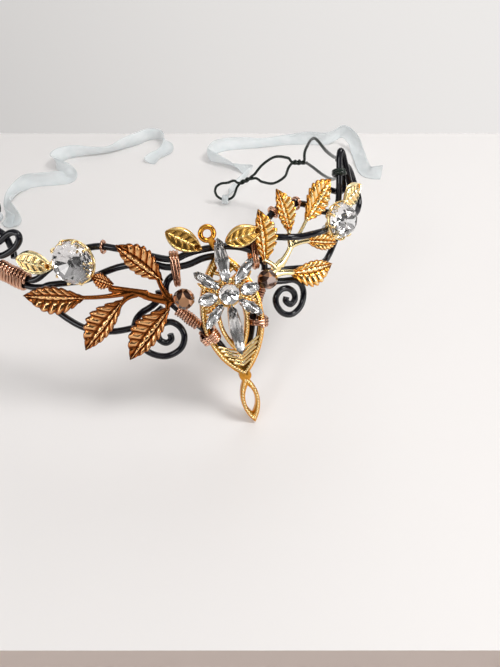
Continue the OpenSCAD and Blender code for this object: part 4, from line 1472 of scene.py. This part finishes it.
@dataclass
class LeafBeads:
    """The cast leaf beads: a raised rim round a sunk, veined field."""

    shop: Workshop
    stations: int = 72
    columns: int = 41
    # Relief of the face: rim, midrib and veins across it
    rim_at: float = 0.84
    rim_width: float = 0.1
    midrib_width: float = 0.07
    veins: int = 6
    vein_slant: float = 0.16
    vein_width: float = 0.14
    # The hole near the blunt end
    hole_at: float = 0.86
    hole_size: float = 0.35
    hole_depth: float = 0.7
    # Heights as shares of the thickness: the field, its relief, the edge, and the belly below it
    field_height: float = 0.24
    relief_height: float = 0.2
    edge_drop: float = 0.1
    belly: float = 0.4
    # Tone of the sunk field before its relief is added; the brighter one is painted highlight for beads
    # whose field catches the light
    ground_bright: float = 0.62
    ground_antique: float = 0.24
    table: tuple[LeafBead, ...] = (
        LeafBead("leaf_bead_top_left", (-12.2, 61.1, 3.4), -33, 11.4, 6.6),
        LeafBead("leaf_bead_top_right", (6.1, 60.3, 5.6), 8, 11.4, 6.4),
        LeafBead("leaf_bead_side_left", (-62.4, 55, 2.4), -8, 12.4, 7.2, bright=True),
        LeafBead("leaf_bead_side_right", (56.8, 61, 4), 12, 12.4, 7, bright=True))

    def bead(self, row: LeafBead) -> Piece:
        """One bead, with a dark hole sunk at its blunt end.

        Args:
            row: The bead's place and size.

        Returns:
            The bead.
        """
        s = np.linspace(0.004, 0.996, self.stations)[:, None]
        c = np.linspace(1, -1, self.columns)[None, :]
        half = row.wide / 2 * np.sin(math.pi * s ** 0.85) ** 0.8
        body = row.thick * (0.45 + 0.55 * np.sin(math.pi * s))
        blend = np.clip(np.sin(math.pi * s) * 3.2, 0, 1)
        rim = bell(np.abs(c), self.rim_at, self.rim_width) * (0.4 + 0.6 * blend)
        midrib = bell(c, 0, self.midrib_width)
        phase = (self.veins * (s + self.vein_slant * (1 - np.abs(c)))) % 1
        vein = bell(phase, 0.5, self.vein_width) * np.clip(1 - np.abs(c), 0, 1)
        raised = np.clip(rim + 0.8 * midrib + 0.6 * vein, 0, 1)
        from_hole = ((s - self.hole_at) * row.long) ** 2 + (c * half) ** 2
        hole = np.exp(-from_hole / self.hole_size)
        face = body * (self.field_height + self.relief_height * raised) - self.hole_depth * hole
        shoulder = np.sqrt(np.clip(1 - np.abs(c) ** 6, 0, 1))
        high = face * shoulder - body * self.edge_drop * (1 - shoulder)
        low = -body * (self.edge_drop + self.belly * np.sqrt(np.clip(1 - np.abs(c) ** 3, 0, 1)))
        flat = np.stack([row.long * (s - 0.5) + 0 * c, c * half], -1)
        pose = BAND.pose(row.at, row.spin)
        # Painted light: the tone paints highlight on the rim, midrib and veins, and shade sunk into the
        # hole
        ground = self.ground_bright if row.bright else self.ground_antique
        metal = self.shop.finishes.gold if row.bright else self.shop.finishes.antique
        return shell(
            f"{row.node}_cast", posed(lifted(flat, high), pose), posed(lifted(flat, low), pose), metal,
            np.clip(ground + 0.62 * raised - hole, 0, 1))

    def build(self) -> None:
        """Casts every bead."""
        for row in self.table:
            self.shop.fit(self.bead(row), row.node, "gold")


@dataclass
class BrownBeads:
    """The two brown cut beads beside the centre piece."""

    shop: Workshop
    width: float = 6.4
    sides: int = 8
    seed: int = 5
    # Rings of the cut: shares of the width, across and up
    cut: tuple[tuple[float, float], ...] = (
        (0.24, -0.46), (0.42, -0.28), (0.5, -0.02), (0.5, 0.02), (0.42, 0.28), (0.24, 0.46))
    places: tuple[tuple[Side, Place], ...] = (
        (Side.LEFT, (-14.7, 44.5, 4.3)), (Side.RIGHT, (12.4, 45.7, 4.3)))

    def build(self) -> None:
        """Cuts both beads, each facet in a random tone of its own, painted light caught by that facet."""
        chance = np.random.default_rng(self.seed)
        rings = [
            ring(share * self.width, height * self.width, self.sides, 0.5 * (k % 2))
            for k, (share, height) in enumerate(self.cut)]
        for side, at in self.places:
            node = f"brown_bead_{side.value}"
            piece = cut_stone(f"{node}_cut", rings, BAND.pose(at), self.shop.finishes.brown)
            # Random facet tones: painted light and dark caught by the facets
            tones = piece.data.attributes.new("relief", "FLOAT", "FACE")
            tones.data.foreach_set("value", chance.random(len(piece.data.polygons)).astype(np.float32))
            self.shop.fit(piece, node, "brown_glass")


@dataclass
class SetStone:
    """A large clear stone in its cup of curled gold wire."""

    shop: Workshop
    side: Side
    width: float
    stone_at: Place
    cup_at: Place
    prongs: int = 10
    cut: Rows = (
        (0.1, -2.3, 8, 0), (0.33, -1.25, 16, 0.5), (0.5, -0.25, 16, 0), (0.5, 0.25, 16, 0),
        (0.43, 1.75, 16, 0.5), (0.358, 3, 8, 0.5), (0.25, 4, 8, 0))
    # Radii of the wires, then the radius and height of the lowest hoop
    hoop_radius: float = 0.4
    prong_radius: float = 0.38
    scroll_radius: float = 0.28
    base: tuple[float, float] = (1.7, 0.35)

    def stone(self) -> Piece:
        """The cut stone, foiled at its back."""
        name, f = f"stone_{self.side.value}_cut", self.shop.finishes
        return cut_stone(name, brilliant(self.width, self.cut), BAND.pose(self.stone_at), f.crystal, f.foil)

    def cup(self) -> Piece:
        """The setting: hoops, curled prongs and scrolls between them.

        Returns:
            The setting.
        """
        gold, wire = self.shop.finishes.gold, self.shop.wire
        r = self.width / 2
        hoops = [ring(k, z, 48) for k, z in (self.base, (r - 1.3, 2.0), (r + 0.05, 3.1))]
        parts = [wire.draw("cup_hoops", hoops, self.hoop_radius, 8, gold, closed=True)]
        curl = smooth([
            [self.base[0], 0, self.base[1]], [r - 2.4, 0, 0.95], [r - 0.5, 0, 2.3],
            [r + 0.22, 0, 3.4], [r + 0.3, 0.15, 4.3], [r + 0.02, 0.35, 5.0], [r - 0.5, 0.3, 5.15]], 5)
        b = np.linspace(0.15, 1.7 * math.pi, 22)
        inwards = 1 - 0.3 * b / b[-1]
        scroll = np.stack([
            r - 0.6 + 0 * b, 1.15 * inwards * np.sin(b), 2.3 + 0.85 * inwards * np.cos(b)], -1)
        for name, path, radius in (
                ("cup_prong", curl, self.prong_radius), ("cup_scroll", scroll, self.scroll_radius)):
            one = wire.draw(name, [path], radius, 8, gold)
            parts.append(self.shop.rings.repeat(one, self.prongs, gold))
        return carried(fused(f"setting_{self.side.value}_cup", parts), BAND.pose(self.cup_at))

    def build(self) -> None:
        """Makes the stone and its cup."""
        self.shop.fit(self.stone(), f"stone_{self.side.value}", "crystal")
        self.shop.fit(self.cup(), f"setting_{self.side.value}", "gold")


@dataclass
class CentrePiece:
    """The openwork drop with its star of cut petals.

    Insets are pairs: how far inside the plate's half width and half height an oval lies.
    """

    shop: Workshop
    at: tuple[float, float] = (-0.9, 44.2)
    turn: float = 4
    back: float = 2.25
    thick: float = 1.8
    half_w: float = 9.5
    half_h: float = 20.5
    drop: float = 7.7
    reach: float = 45.28
    # Ropes: insets of the outer and inner one, the lowest one's half width, and the wire
    edge_inset: tuple[float, float] = (0.62, 1.3)
    inner_inset: tuple[float, float] = (5.3, 8.9)
    low_half_w: float = 2.35
    low_inset: float = 1.2
    rope_depth: float = 0.36
    rope_wire: float = 0.33
    least_twists: int = 3
    # Rungs: their slant in degrees, where they start below the star, their depth and wire
    rung_slant: float = 28
    rung_starts: tuple[float, ...] = (
        *(3.1 * k - 3 for k in range(6)), *(-12.4 - 1.15 * k for k in range(5)))
    rung_inset: tuple[float, float] = (1.2, 2.6)
    rung_depth: float = 0.28
    rung_wire: float = 0.4
    # Leaves that fan out round the star, the eyelet's middle, and its radius
    fan_turns: tuple[float, ...] = (-30, 30, 90, 150, 210)
    fan_radius: float = 5
    eyelet_at: Place = (-2.2, 18.2, 0)
    eyelet_radius: float = 1.9
    # Edges of the pierced plate: doubled points, flat angle, and the softened edge
    weld: float = 2e-6
    flat_angle: float = 4
    edge_angle: float = 40
    edge_width: float = 0.22
    # The star's petals and its stone
    floor: float = 4.25
    petal_start: float = 3.4
    petal_turns: tuple[float, ...] = (0, 42, 90, 138, 180, 222, 270, 318)
    petal_cut: Rows = ((0, 0.5, 0.3), (1, 1, 1), (1.4, 1, 1), (2.3, 0.8, 0.62), (2.9, 0.5, 0.2))
    petals: tuple[tuple[str, float, float, float], ...] = (
        ("petal_top", 90, 13.5, 4.2), ("petal_bottom", 270, 16.5, 4.2), ("petal_left", 180, 6, 4.2),
        ("petal_right", 0, 6, 4.2), ("petal_upper_left", 135, 9, 3.4), ("petal_upper_right", 45, 9, 3.4),
        ("petal_lower_left", 225, 9, 3.4), ("petal_lower_right", 315, 9, 3.4))
    star_width: float = 6.2
    star_lift: float = 1.4
    star_cut: Rows = (
        (0.1, -1.25, 8, 0), (0.33, -0.75, 16, 0.5), (0.5, -0.25, 16, 0), (0.5, 0.25, 16, 0),
        (0.43, 1.2, 16, 0.5), (0.35, 1.9, 8, 0.5), (0.24, 2.4, 8, 0))

    def oval(self, half_w: float, half_h: float, middle: float, n: int = 64) -> np.ndarray:
        """A pointed oval, level in the piece's own directions.

        Args:
            half_w: Half its width.
            half_h: Half its height.
            middle: How far up its middle lies.
            n: Points on each side.

        Returns:
            A closed path at height 0.
        """
        r = (half_h ** 2 + half_w ** 2) / (2 * half_w)
        reach = math.asin(min(half_h / r, 1))
        a = np.linspace(-reach, reach, n, endpoint=False)
        right = np.stack([r * np.cos(a) - (r - half_w), r * np.sin(a)], -1)
        return lifted(np.concatenate([right, -right]) + np.array([0, middle]), 0)

    def rope(self, path: np.ndarray, radius: float, length: float, pitch: float) -> list[np.ndarray]:
        """Two strands twisted along a closed path.

        Args:
            path: The path.
            radius: Radius of the twist.
            length: Length of the path.
            pitch: Length of one full twist.

        Returns:
            The two strands.
        """
        steps = 3 * len(path)
        at = np.linspace(0, len(path), steps, endpoint=False)
        whole = np.concatenate([path, path[:1]])
        fine = np.stack([np.interp(at, np.arange(len(whole)), whole[:, k]) for k in range(3)], -1)
        t = units(np.roll(fine, -1, 0) - np.roll(fine, 1, 0))
        side = np.stack([t[:, 1], -t[:, 0], 0 * t[:, 0]], -1)
        twists = max(round(length / pitch), self.least_twists)
        a = TAU * twists * np.arange(steps) / steps
        return [
            fine + UP * (self.thick - self.rope_depth) + radius * (
                np.cos(a + turn)[:, None] * side + np.sin(a + turn)[:, None] * UP)
            for turn in (0, math.pi)]

    def ropes(self) -> list[np.ndarray]:
        """The twisted edges of the plate, of its field and of its lowest opening.

        Returns:
            Their strands.
        """
        low_middle = -(self.reach + self.drop + self.half_h) / 2
        low_half_h = (self.reach - self.drop - self.half_h) / 2
        outer, inner = (
            self.oval(self.half_w - inset[0], self.half_h - inset[1], -self.drop)
            for inset in (self.edge_inset, self.inner_inset))
        low = self.oval(self.low_half_w, low_half_h - self.low_inset, low_middle, 24)
        return [
            *self.rope(outer, radius=0.26, length=90, pitch=1.9),
            *self.rope(inner, radius=0.24, length=50, pitch=1.7),
            *self.rope(low, radius=0.24, length=30, pitch=2)]

    def _inside(self, p: np.ndarray, inset: tuple[float, float]) -> bool:
        """Whether a place lies inside the oval at an inset.

        Args:
            p: The place.
            inset: The inset.

        Returns:
            Whether it does.
        """
        half_w, half_h = self.half_w - inset[0], self.half_h - inset[1]
        r = (half_h ** 2 + half_w ** 2) / (2 * half_w)
        x, y = abs(p[0]), p[1] + self.drop
        return math.hypot(x + r - half_w, y) < r and abs(y) < half_h

    def _rung_span(self, start: np.ndarray, d: np.ndarray) -> tuple[float, float]:
        """How far along a rung's line the field between the frames runs.

        Args:
            start: Where the line starts.
            d: Its direction.

        Returns:
            Where the rung begins and ends on the line.
        """
        runs = [
            t for t in np.linspace(0, 12, 121)
            if self._inside(start + t * d, self.rung_inset)
            and not self._inside(start + t * d, self.inner_inset)]
        return (runs[0], runs[-1]) if runs else (6.0, 7.0)

    def rungs(self) -> list[np.ndarray]:
        """The slanting rungs between the plate's edge and its field.

        Returns:
            Their paths.
        """
        a = math.radians(self.rung_slant)
        d, n = np.array([math.cos(a), math.sin(a)]), np.array([-math.sin(a), math.cos(a)])
        found = []
        for side in (-1, 1):
            for low in self.rung_starts:
                start = np.array([0, low - self.drop]) + 0.5 * n
                line = start + np.outer(np.linspace(*self._rung_span(start, d), 6), d)
                found.append(lifted(line * np.array([side, 1]), self.thick - self.rung_depth))
        return found

    def small_leaf(
        self, name: str, centre: Sequence[float], turn: float, half_l: float, half_w: float,
    ) -> Piece:
        """A domed, veined leaf on the plate.

        Args:
            name: The leaf's name.
            centre: Its middle.
            turn: Which way it points, in degrees.
            half_l: Half its length.
            half_w: Half its width.

        Returns:
            The leaf.
        """
        s = np.linspace(-0.99, 0.99, 44)[:, None]
        c = np.linspace(1, -1, 15)[None, :]
        half = half_w * (1 - s * s) ** 0.85
        phase = (half_l * 0.9 * (s + 0.25 * (1 - np.abs(c)))) % 1
        rim = bell(np.abs(c), 0.88, 0.12)
        raised = np.clip(0.6 * bell(phase, 0.5, 0.2) + bell(c, 0, 0.14) + 0.7 * rim, 0, 1)
        x, y = half_l * s + 0 * c, c * half
        a = math.radians(turn)
        flat = np.stack([
            centre[0] + x * math.cos(a) - y * math.sin(a),
            centre[1] + x * math.sin(a) + y * math.cos(a)], -1)
        high = self.thick + (0.03 + 0.16 * raised) * (1 - s ** 4)
        # Tone: painted highlight on the veins, midrib and rim, and painted shade between them
        return shell(
            name, lifted(flat, high), lifted(flat, self.thick - 0.4), self.shop.finishes.gold,
            np.clip(0.15 + 0.85 * raised, 0, 1))

    def plate(self) -> Piece:
        """The pierced plate itself, with its edges softened.

        Returns:
            The plate.
        """
        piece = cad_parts["centre_plaque"].copy()
        piece.data = piece.data.copy()
        piece.parent = None
        bpy.context.scene.collection.objects.link(piece)
        flat = math.radians(self.flat_angle)
        with edited(piece.data) as work:
            bmesh.ops.remove_doubles(work, verts=work.verts, dist=self.weld)
            bmesh.ops.dissolve_limit(work, angle_limit=flat, verts=work.verts, edges=work.edges)
        piece.data.materials.clear()
        piece.data.materials.append(self.shop.finishes.gold)
        soft = piece.modifiers.new("soft_edge", "BEVEL")
        soft.width = self.edge_width * MM
        soft.segments = 2
        soft.limit_method = "ANGLE"
        soft.angle_limit = math.radians(self.edge_angle)
        settled(piece)
        set_relief(piece.data, BACK_RELIEF)
        piece.data.shade_smooth()
        return piece

    def openwork(self) -> Piece:
        """The plate with its rope edges, rungs, leaves, eyelet and the seat of the star.

        Returns:
            The openwork.
        """
        gold, wire = self.shop.finishes.gold, self.shop.wire
        parts = [
            wire.draw("rope_edges", self.ropes(), self.rope_wire, 8, gold, closed=True),
            wire.draw("rungs", self.rungs(), self.rung_wire, 8, gold)]
        for k, turn in enumerate(self.fan_turns):
            a = math.radians(turn)
            parts.append(self.small_leaf(
                f"fan_leaf_{k}", (self.fan_radius * math.cos(a), self.fan_radius * math.sin(a)),
                turn, 4.4, 1.3))
        parts.append(self.small_leaf("long_leaf", (0, -self.drop - 4.4), 270, 10.4, 1.7))
        eyelet = ring(self.eyelet_radius, 0.9, 40) + np.array(self.eyelet_at)
        parts.append(wire.draw("eyelet_ring", [eyelet], 0.74, 12, gold, closed=True))
        seat = ring(4.0, self.thick - 0.12, 40)
        parts.append(wire.draw("star_seat", [seat], 0.3, 8, gold, closed=True))
        details = carried(fused("openwork_details", parts), BAND.pose((*self.at, self.back), self.turn))
        return fused("centre_plaque_openwork", [self.plate(), details])

    def petal_rings(self, long: float, wide: float) -> list[np.ndarray]:
        """The rings of one petal, from its back to its table.

        Args:
            long: The petal's length.
            wide: Its width.

        Returns:
            Rings of points along X from the petal's inner tip.
        """
        turns = np.radians(self.petal_turns)
        c, s = np.cos(turns), np.sin(turns)
        return [
            np.stack([
                long / 2 + reach * long / 2 * np.sign(c) * np.abs(c) ** 0.8,
                girth * wide / 2 * np.sign(s) * np.abs(s) ** 1.25, z + 0 * turns], -1)
            for z, reach, girth in self.petal_cut]

    def build(self) -> None:
        """Makes the openwork, the petals and the star stone."""
        f = self.shop.finishes
        self.shop.fit(self.openwork(), "centre_plaque", "gold")
        for node, turn, long, wide in self.petals:
            pose = BAND.pose((*self.at, 0), self.turn + turn)
            start = posed(np.array([self.petal_start, 0, self.floor]), pose)
            rings = self.petal_rings(long, wide)
            piece = cut_stone(f"{node}_cut", rings, (start, pose[1]), f.crystal, f.petal_foil)
            self.shop.fit(piece, node, "crystal")
        pose = BAND.pose((*self.at, self.floor + self.star_lift), self.turn)
        rings = brilliant(self.star_width, self.star_cut)
        self.shop.fit(cut_stone("star_stone_cut", rings, pose, f.crystal, f.foil), "star_stone", "crystal")


@dataclass
class Ribbon:
    """A satin ribbon that lies in curls on the table, and the knot that ties it on."""

    shop: Workshop
    side: Side
    width: float = 10
    wall: float = 0.36
    steps: int = 14
    columns: int = 17
    # Section: half its span, the rise of its middle and edges, and the depth of its creases
    half_span: float = 0.37
    rise_middle: float = 0.02
    rise_edge: float = 0.14
    crease_depth: float = 0.16
    # The knot: the arm's wire in it, half its length, where its ends would close, its radius there,
    # what that takes off its height, its room round the wire, and how far it hangs below the strand
    arm_radius: float = 0.65
    knot_half: float = 1.66
    knot_end: float = 1.7
    knot_neck: float = 1.15
    knot_room: float = 1.17
    knot_gap: float = 0.42
    knot_drop: float = 0.1
    weld: float = 1e-6

    def curve(self) -> tuple[np.ndarray, np.ndarray]:
        """The ribbon's surface.

        Returns:
            Its points as rows across, and their unit normals.
        """
        fine = smooth(RIBBON_ROWS[self.side], self.steps)
        path = lifted(fine[:, :2], 0)
        across = np.cross(UP, units(np.gradient(path, axis=0)))
        run = run_along(path)
        c = np.linspace(-1, 1, self.columns)
        x = self.half_span * self.width * c
        rise = self.width * (self.rise_middle + self.rise_edge * np.abs(c) ** 2.6)
        points, normals = [], []
        for i, row in enumerate(fine):
            a = math.radians(row[3])
            crease = self.crease_depth * np.sin(0.42 * run[i] + 2.2 * c) * np.sin(0.9 * c + 0.11 * run[i])
            z = rise + crease
            turned = np.stack([x * math.cos(a) - z * math.sin(a), x * math.sin(a) + z * math.cos(a)], -1)
            slope = units(np.gradient(turned, axis=0))
            low = turned[:, 1].min() - self.wall / 2
            points.append(
                path[i] + np.outer(turned[:, 0], across[i])
                + np.outer(turned[:, 1] - low + max(0, row[2]), UP))
            normals.append(np.outer(-slope[:, 1], across[i]) + np.outer(slope[:, 0], UP))
        return np.array(points) - FOOT, np.array(normals)

    def strip(self) -> tuple[Piece, float]:
        """The ribbon.

        Returns:
            The piece, and the ribbon's length in metres.
        """
        points, normals = self.curve()
        run = run_along(points[:, self.columns // 2])
        u = np.repeat(run[:, None] / self.width, self.columns, 1)
        v = np.repeat(np.linspace(0, 1, self.columns)[None, :], len(run), 0)
        offset = normals * self.wall / 2
        piece = shell(
            f"ribbon_{self.side.value}_satin", points + offset, points - offset,
            self.shop.finishes.satin, uv=np.stack([u, v], -1))
        return piece, float(run[-1]) * MM

    @staticmethod
    def _round_axis(axes: Rows, x: np.ndarray, phi: np.ndarray, r: np.ndarray) -> np.ndarray:
        """Points round an axis.

        Args:
            axes: The axis, and two directions across it.
            x: Places along it.
            phi: Turns about it.
            r: Distances from it.

        Returns:
            The points.
        """
        along, side, up = axes
        return (
            along * (x + 0 * r)[..., None] + side * (r * np.sin(phi))[..., None]
            + up * (r * np.cos(phi))[..., None])

    def knot(self) -> Piece:
        """The folded knot round the arm's end loop.

        Returns:
            The knot.
        """
        rows = ARM_ROWS[self.side]
        first = KNOT_ROW[self.side]
        before, after = np.array(rows[first], float), np.array(rows[first + 1], float)
        at = (before + after) / 2
        strand_z = at[2] - at[3] - self.knot_drop
        along = np.array([*unit((after - before)[:2]), 0])
        axes = (along, np.array([-along[1], along[0], 0]), UP)
        phi = np.linspace(0, TAU, 73)[:, None]
        x = np.linspace(-self.knot_half, self.knot_half, 21)[None, :]
        fold = np.abs(np.sin(1.5 * phi + 1.3 * x)) ** 0.6
        crease = np.abs(np.sin(2.4 * x + 1.1 * np.sin(phi)))
        shape = (1 - np.abs(x / self.knot_end) ** 4) ** 0.5
        outer = self.knot_neck + (strand_z - self.knot_room) * shape * (0.72 + 0.16 * fold + 0.12 * crease)
        inner = np.full_like(outer, self.arm_radius + self.knot_gap)
        centre = np.array([at[0], at[1], strand_z]) - FOOT
        piece = shell(
            f"ribbon_knot_{self.side.value}_folded", centre + self._round_axis(axes, x, phi, outer),
            centre + self._round_axis(axes, x, phi, inner), self.shop.finishes.satin,
            uv=np.stack([phi + 0 * x, x + 0 * phi], -1))
        with edited(piece.data) as work:
            bmesh.ops.remove_doubles(work, verts=work.verts, dist=self.weld)
            seen: dict[frozenset[int], list[bmesh.types.BMFace]] = {}
            for f in work.faces:
                seen.setdefault(frozenset(v.index for v in f.verts), []).append(f)
            twice = [f for faces in seen.values() if len(faces) > 1 for f in faces]
            bmesh.ops.delete(work, geom=twice, context="FACES")
            bmesh.ops.recalc_face_normals(work, faces=work.faces)
        return piece

    def build(self) -> None:
        """Makes the knot and lays the ribbon."""
        name = self.side.value
        knot = self.shop.fit(self.knot(), f"ribbon_knot_{name}", "ribbon")
        piece, length = self.strip()
        self.shop.fit(piece, f"ribbon_{name}", "ribbon")
        log.info("%s: %.0f mm long", piece.name, length / MM)


# The stage


@dataclass(frozen=True)
class Lamp:
    """One soft square light: where it hangs, what it looks at, its width, power and colour."""

    name: str
    at: Place
    target: Place
    size: float
    power: float
    colour: Colour

    def hang(self) -> None:
        """Hangs the light over the stage."""
        data = bpy.data.lights.new(self.name, "AREA")
        data.size = self.size
        data.energy = self.power
        data.color = self.colour
        lamp = bpy.data.objects.new(self.name, data)
        lamp.location = self.at
        lamp.rotation_euler = (Vector(self.target) - Vector(self.at)).to_track_quat("-Z", "Y").to_euler()
        bpy.context.scene.collection.objects.link(lamp)


@dataclass
class Studio:
    """The table, the wall, the lights and the camera, in metres."""

    finishes: Finishes
    camera_at: Place = (-0.045, -0.2078, 0.1386)
    forward: Place = (0.213, 0.682, -0.7)
    up: Place = (0.209, 0.668, 0.714)
    lens: float = 27.53
    table_right: Place = (0.954, -0.298, 0)
    table_away: Place = (0.298, 0.954, 0)
    table_edge: tuple[float, float] = (0.0525, 0.104)
    table_depth: float = 0.293
    table_thick: float = 0.022
    half_width: float = 3
    floor_depth: float = 1.5
    wall_away: float = 1.6
    wall_low: float = 1
    wall_high: float = 2
    surround: Colour = (0.72, 0.705, 0.69)
    sky: tuple[tuple[float, float], ...] = ((0.0, 0.05), (0.35, 0.08), (0.72, 0.32), (1.0, 0.45))
    lamps: tuple[Lamp, ...] = (
        Lamp("window", (0.45, -0.24, 0.8), (0, 0, 0), 0.3, 4.3, (1, 0.985, 0.97)),
        Lamp("front_left", (-0.6, -0.5, 0.55), (0, 0, 0), 0.22, 1.1, (0.98, 0.99, 1)),
        Lamp("front_wide", (-0.1, -0.9, 0.7), (0, 0, 0), 0.7, 1.1, (1, 0.99, 0.98)),
        Lamp("behind", (0.25, 0.5, 0.6), (0, 0, 0), 0.3, 0.6, (1, 1, 1)),
        Lamp("left_low", (-0.85, -0.22, 0.17), (0, 0, 0.04), 0.28, 0.85, (1, 1, 1)),
        Lamp("front_right_low", (0.5, -0.76, 0.22), (0, 0, 0.04), 0.26, 1.4, (1, 0.99, 0.97)),
        Lamp("right_low", (0.9, -0.3, 0.16), (0, 0, 0.04), 0.24, 0.8, (1, 0.99, 0.97)))

    def slab(self, name: str, corners: Rows, material: Material) -> Piece:
        """A flat four-sided board.

        Args:
            name: Its name.
            corners: Its four corners in metres, anticlockwise as seen from its face.
            material: Its finish.

        Returns:
            The board.
        """
        mesh = bpy.data.meshes.new(name)
        mesh.from_pydata([list(c) for c in corners], [], [(0, 1, 2, 3)])
        mesh.materials.append(material)
        return new_piece(name, mesh)

    def boards(self) -> None:
        """The table top with its front side, the lower floor before it, and the wall beyond."""
        away = np.array(self.table_away)
        far = np.array([*self.table_edge, 0])
        near = far - away * self.table_depth
        floor = near - UP * self.table_thick
        wall = far + away * self.wall_away
        low, high = wall - UP * self.wall_low, wall + UP * self.wall_high
        front = floor - away * self.floor_depth
        reach = np.array(self.table_right) * self.half_width
        boards = (
            ("table", near, far, self.finishes.table),
            ("table_side", floor, near, self.finishes.table_side),
            ("floor", front, floor, self.finishes.table),
            ("wall", low, high, self.finishes.wall))
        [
            self.slab(name, [one - reach, one + reach, other + reach, other - reach], material)
            for name, one, other, material in boards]

    def room(self) -> None:
        """Daylight that is bright overhead and darker towards the walls."""
        world = bpy.data.worlds.new("studio")
        bpy.context.scene.world = world
        world.use_nodes = True
        nodes, links = world.node_tree.nodes, world.node_tree.links
        ways = nodes.new("ShaderNodeTexCoord")
        parts = nodes.new("ShaderNodeSeparateXYZ")
        tones = nodes.new("ShaderNodeValToRGB")
        set_stops(tones, [(height, (tone, 0.99 * tone, 0.98 * tone, 1)) for height, tone in self.sky])
        plain = nodes.new("ShaderNodeBackground")
        plain.inputs["Color"].default_value = (*self.surround, 1)
        paths = nodes.new("ShaderNodeLightPath")
        either = nodes.new("ShaderNodeMixShader")
        links.new(ways.outputs["Generated"], parts.inputs[0])
        links.new(parts.outputs["Z"], tones.inputs["Fac"])
        links.new(tones.outputs["Color"], nodes["Background"].inputs["Color"])
        links.new(paths.outputs["Is Camera Ray"], either.inputs["Fac"])
        links.new(nodes["Background"].outputs[0], either.inputs[1])
        links.new(plain.outputs[0], either.inputs[2])
        links.new(either.outputs[0], nodes["World Output"].inputs["Surface"])

    def camera(self) -> None:
        """The camera, where the photo was taken from."""
        forward, up = Vector(self.forward).normalized(), Vector(self.up)
        side = forward.cross(up).normalized()
        data = bpy.data.cameras.new("camera")
        data.sensor_width = 36
        data.lens = self.lens
        data.clip_start = 0.01
        camera = bpy.data.objects.new("camera", data)
        turn = Matrix((side, side.cross(forward), -forward)).transposed().to_4x4()
        camera.matrix_world = Matrix.Translation(Vector(self.camera_at)) @ turn
        bpy.context.scene.collection.objects.link(camera)
        bpy.context.scene.camera = camera

    def build(self) -> None:
        """Sets the stage."""
        self.boards()
        self.room()
        for lamp in self.lamps:
            lamp.hang()
        bpy.context.scene.view_settings.view_transform = "Standard"
        self.camera()


def main() -> None:
    """Builds every piece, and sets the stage."""
    logging.basicConfig(level=logging.INFO, format="%(name)s: %(message)s")
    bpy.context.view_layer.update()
    shop = Workshop()
    pieces = [FrameWires(shop), Arms(shop), Windings(shop), LeafBeads(shop), BrownBeads(shop)]
    pieces += [LeafSprays(shop, side) for side in Side]
    pieces += [
        SetStone(shop, Side.LEFT, 12.4, (-47.2, 56.6, 5.4), (-47.2, 56.6, 1.35)),
        SetStone(shop, Side.RIGHT, 11.2, (45, 55.6, 5.65), (45, 55.6, 1.6)),
        CentrePiece(shop)]
    pieces += [Ribbon(shop, side) for side in Side]
    for piece in pieces:
        piece.build()
    left = sorted(set(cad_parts) - set(shop.made))
    log.info("solids that are left as they are: %s", left)
    Studio(shop.finishes).build()


if __name__ == "__main__":
    main()
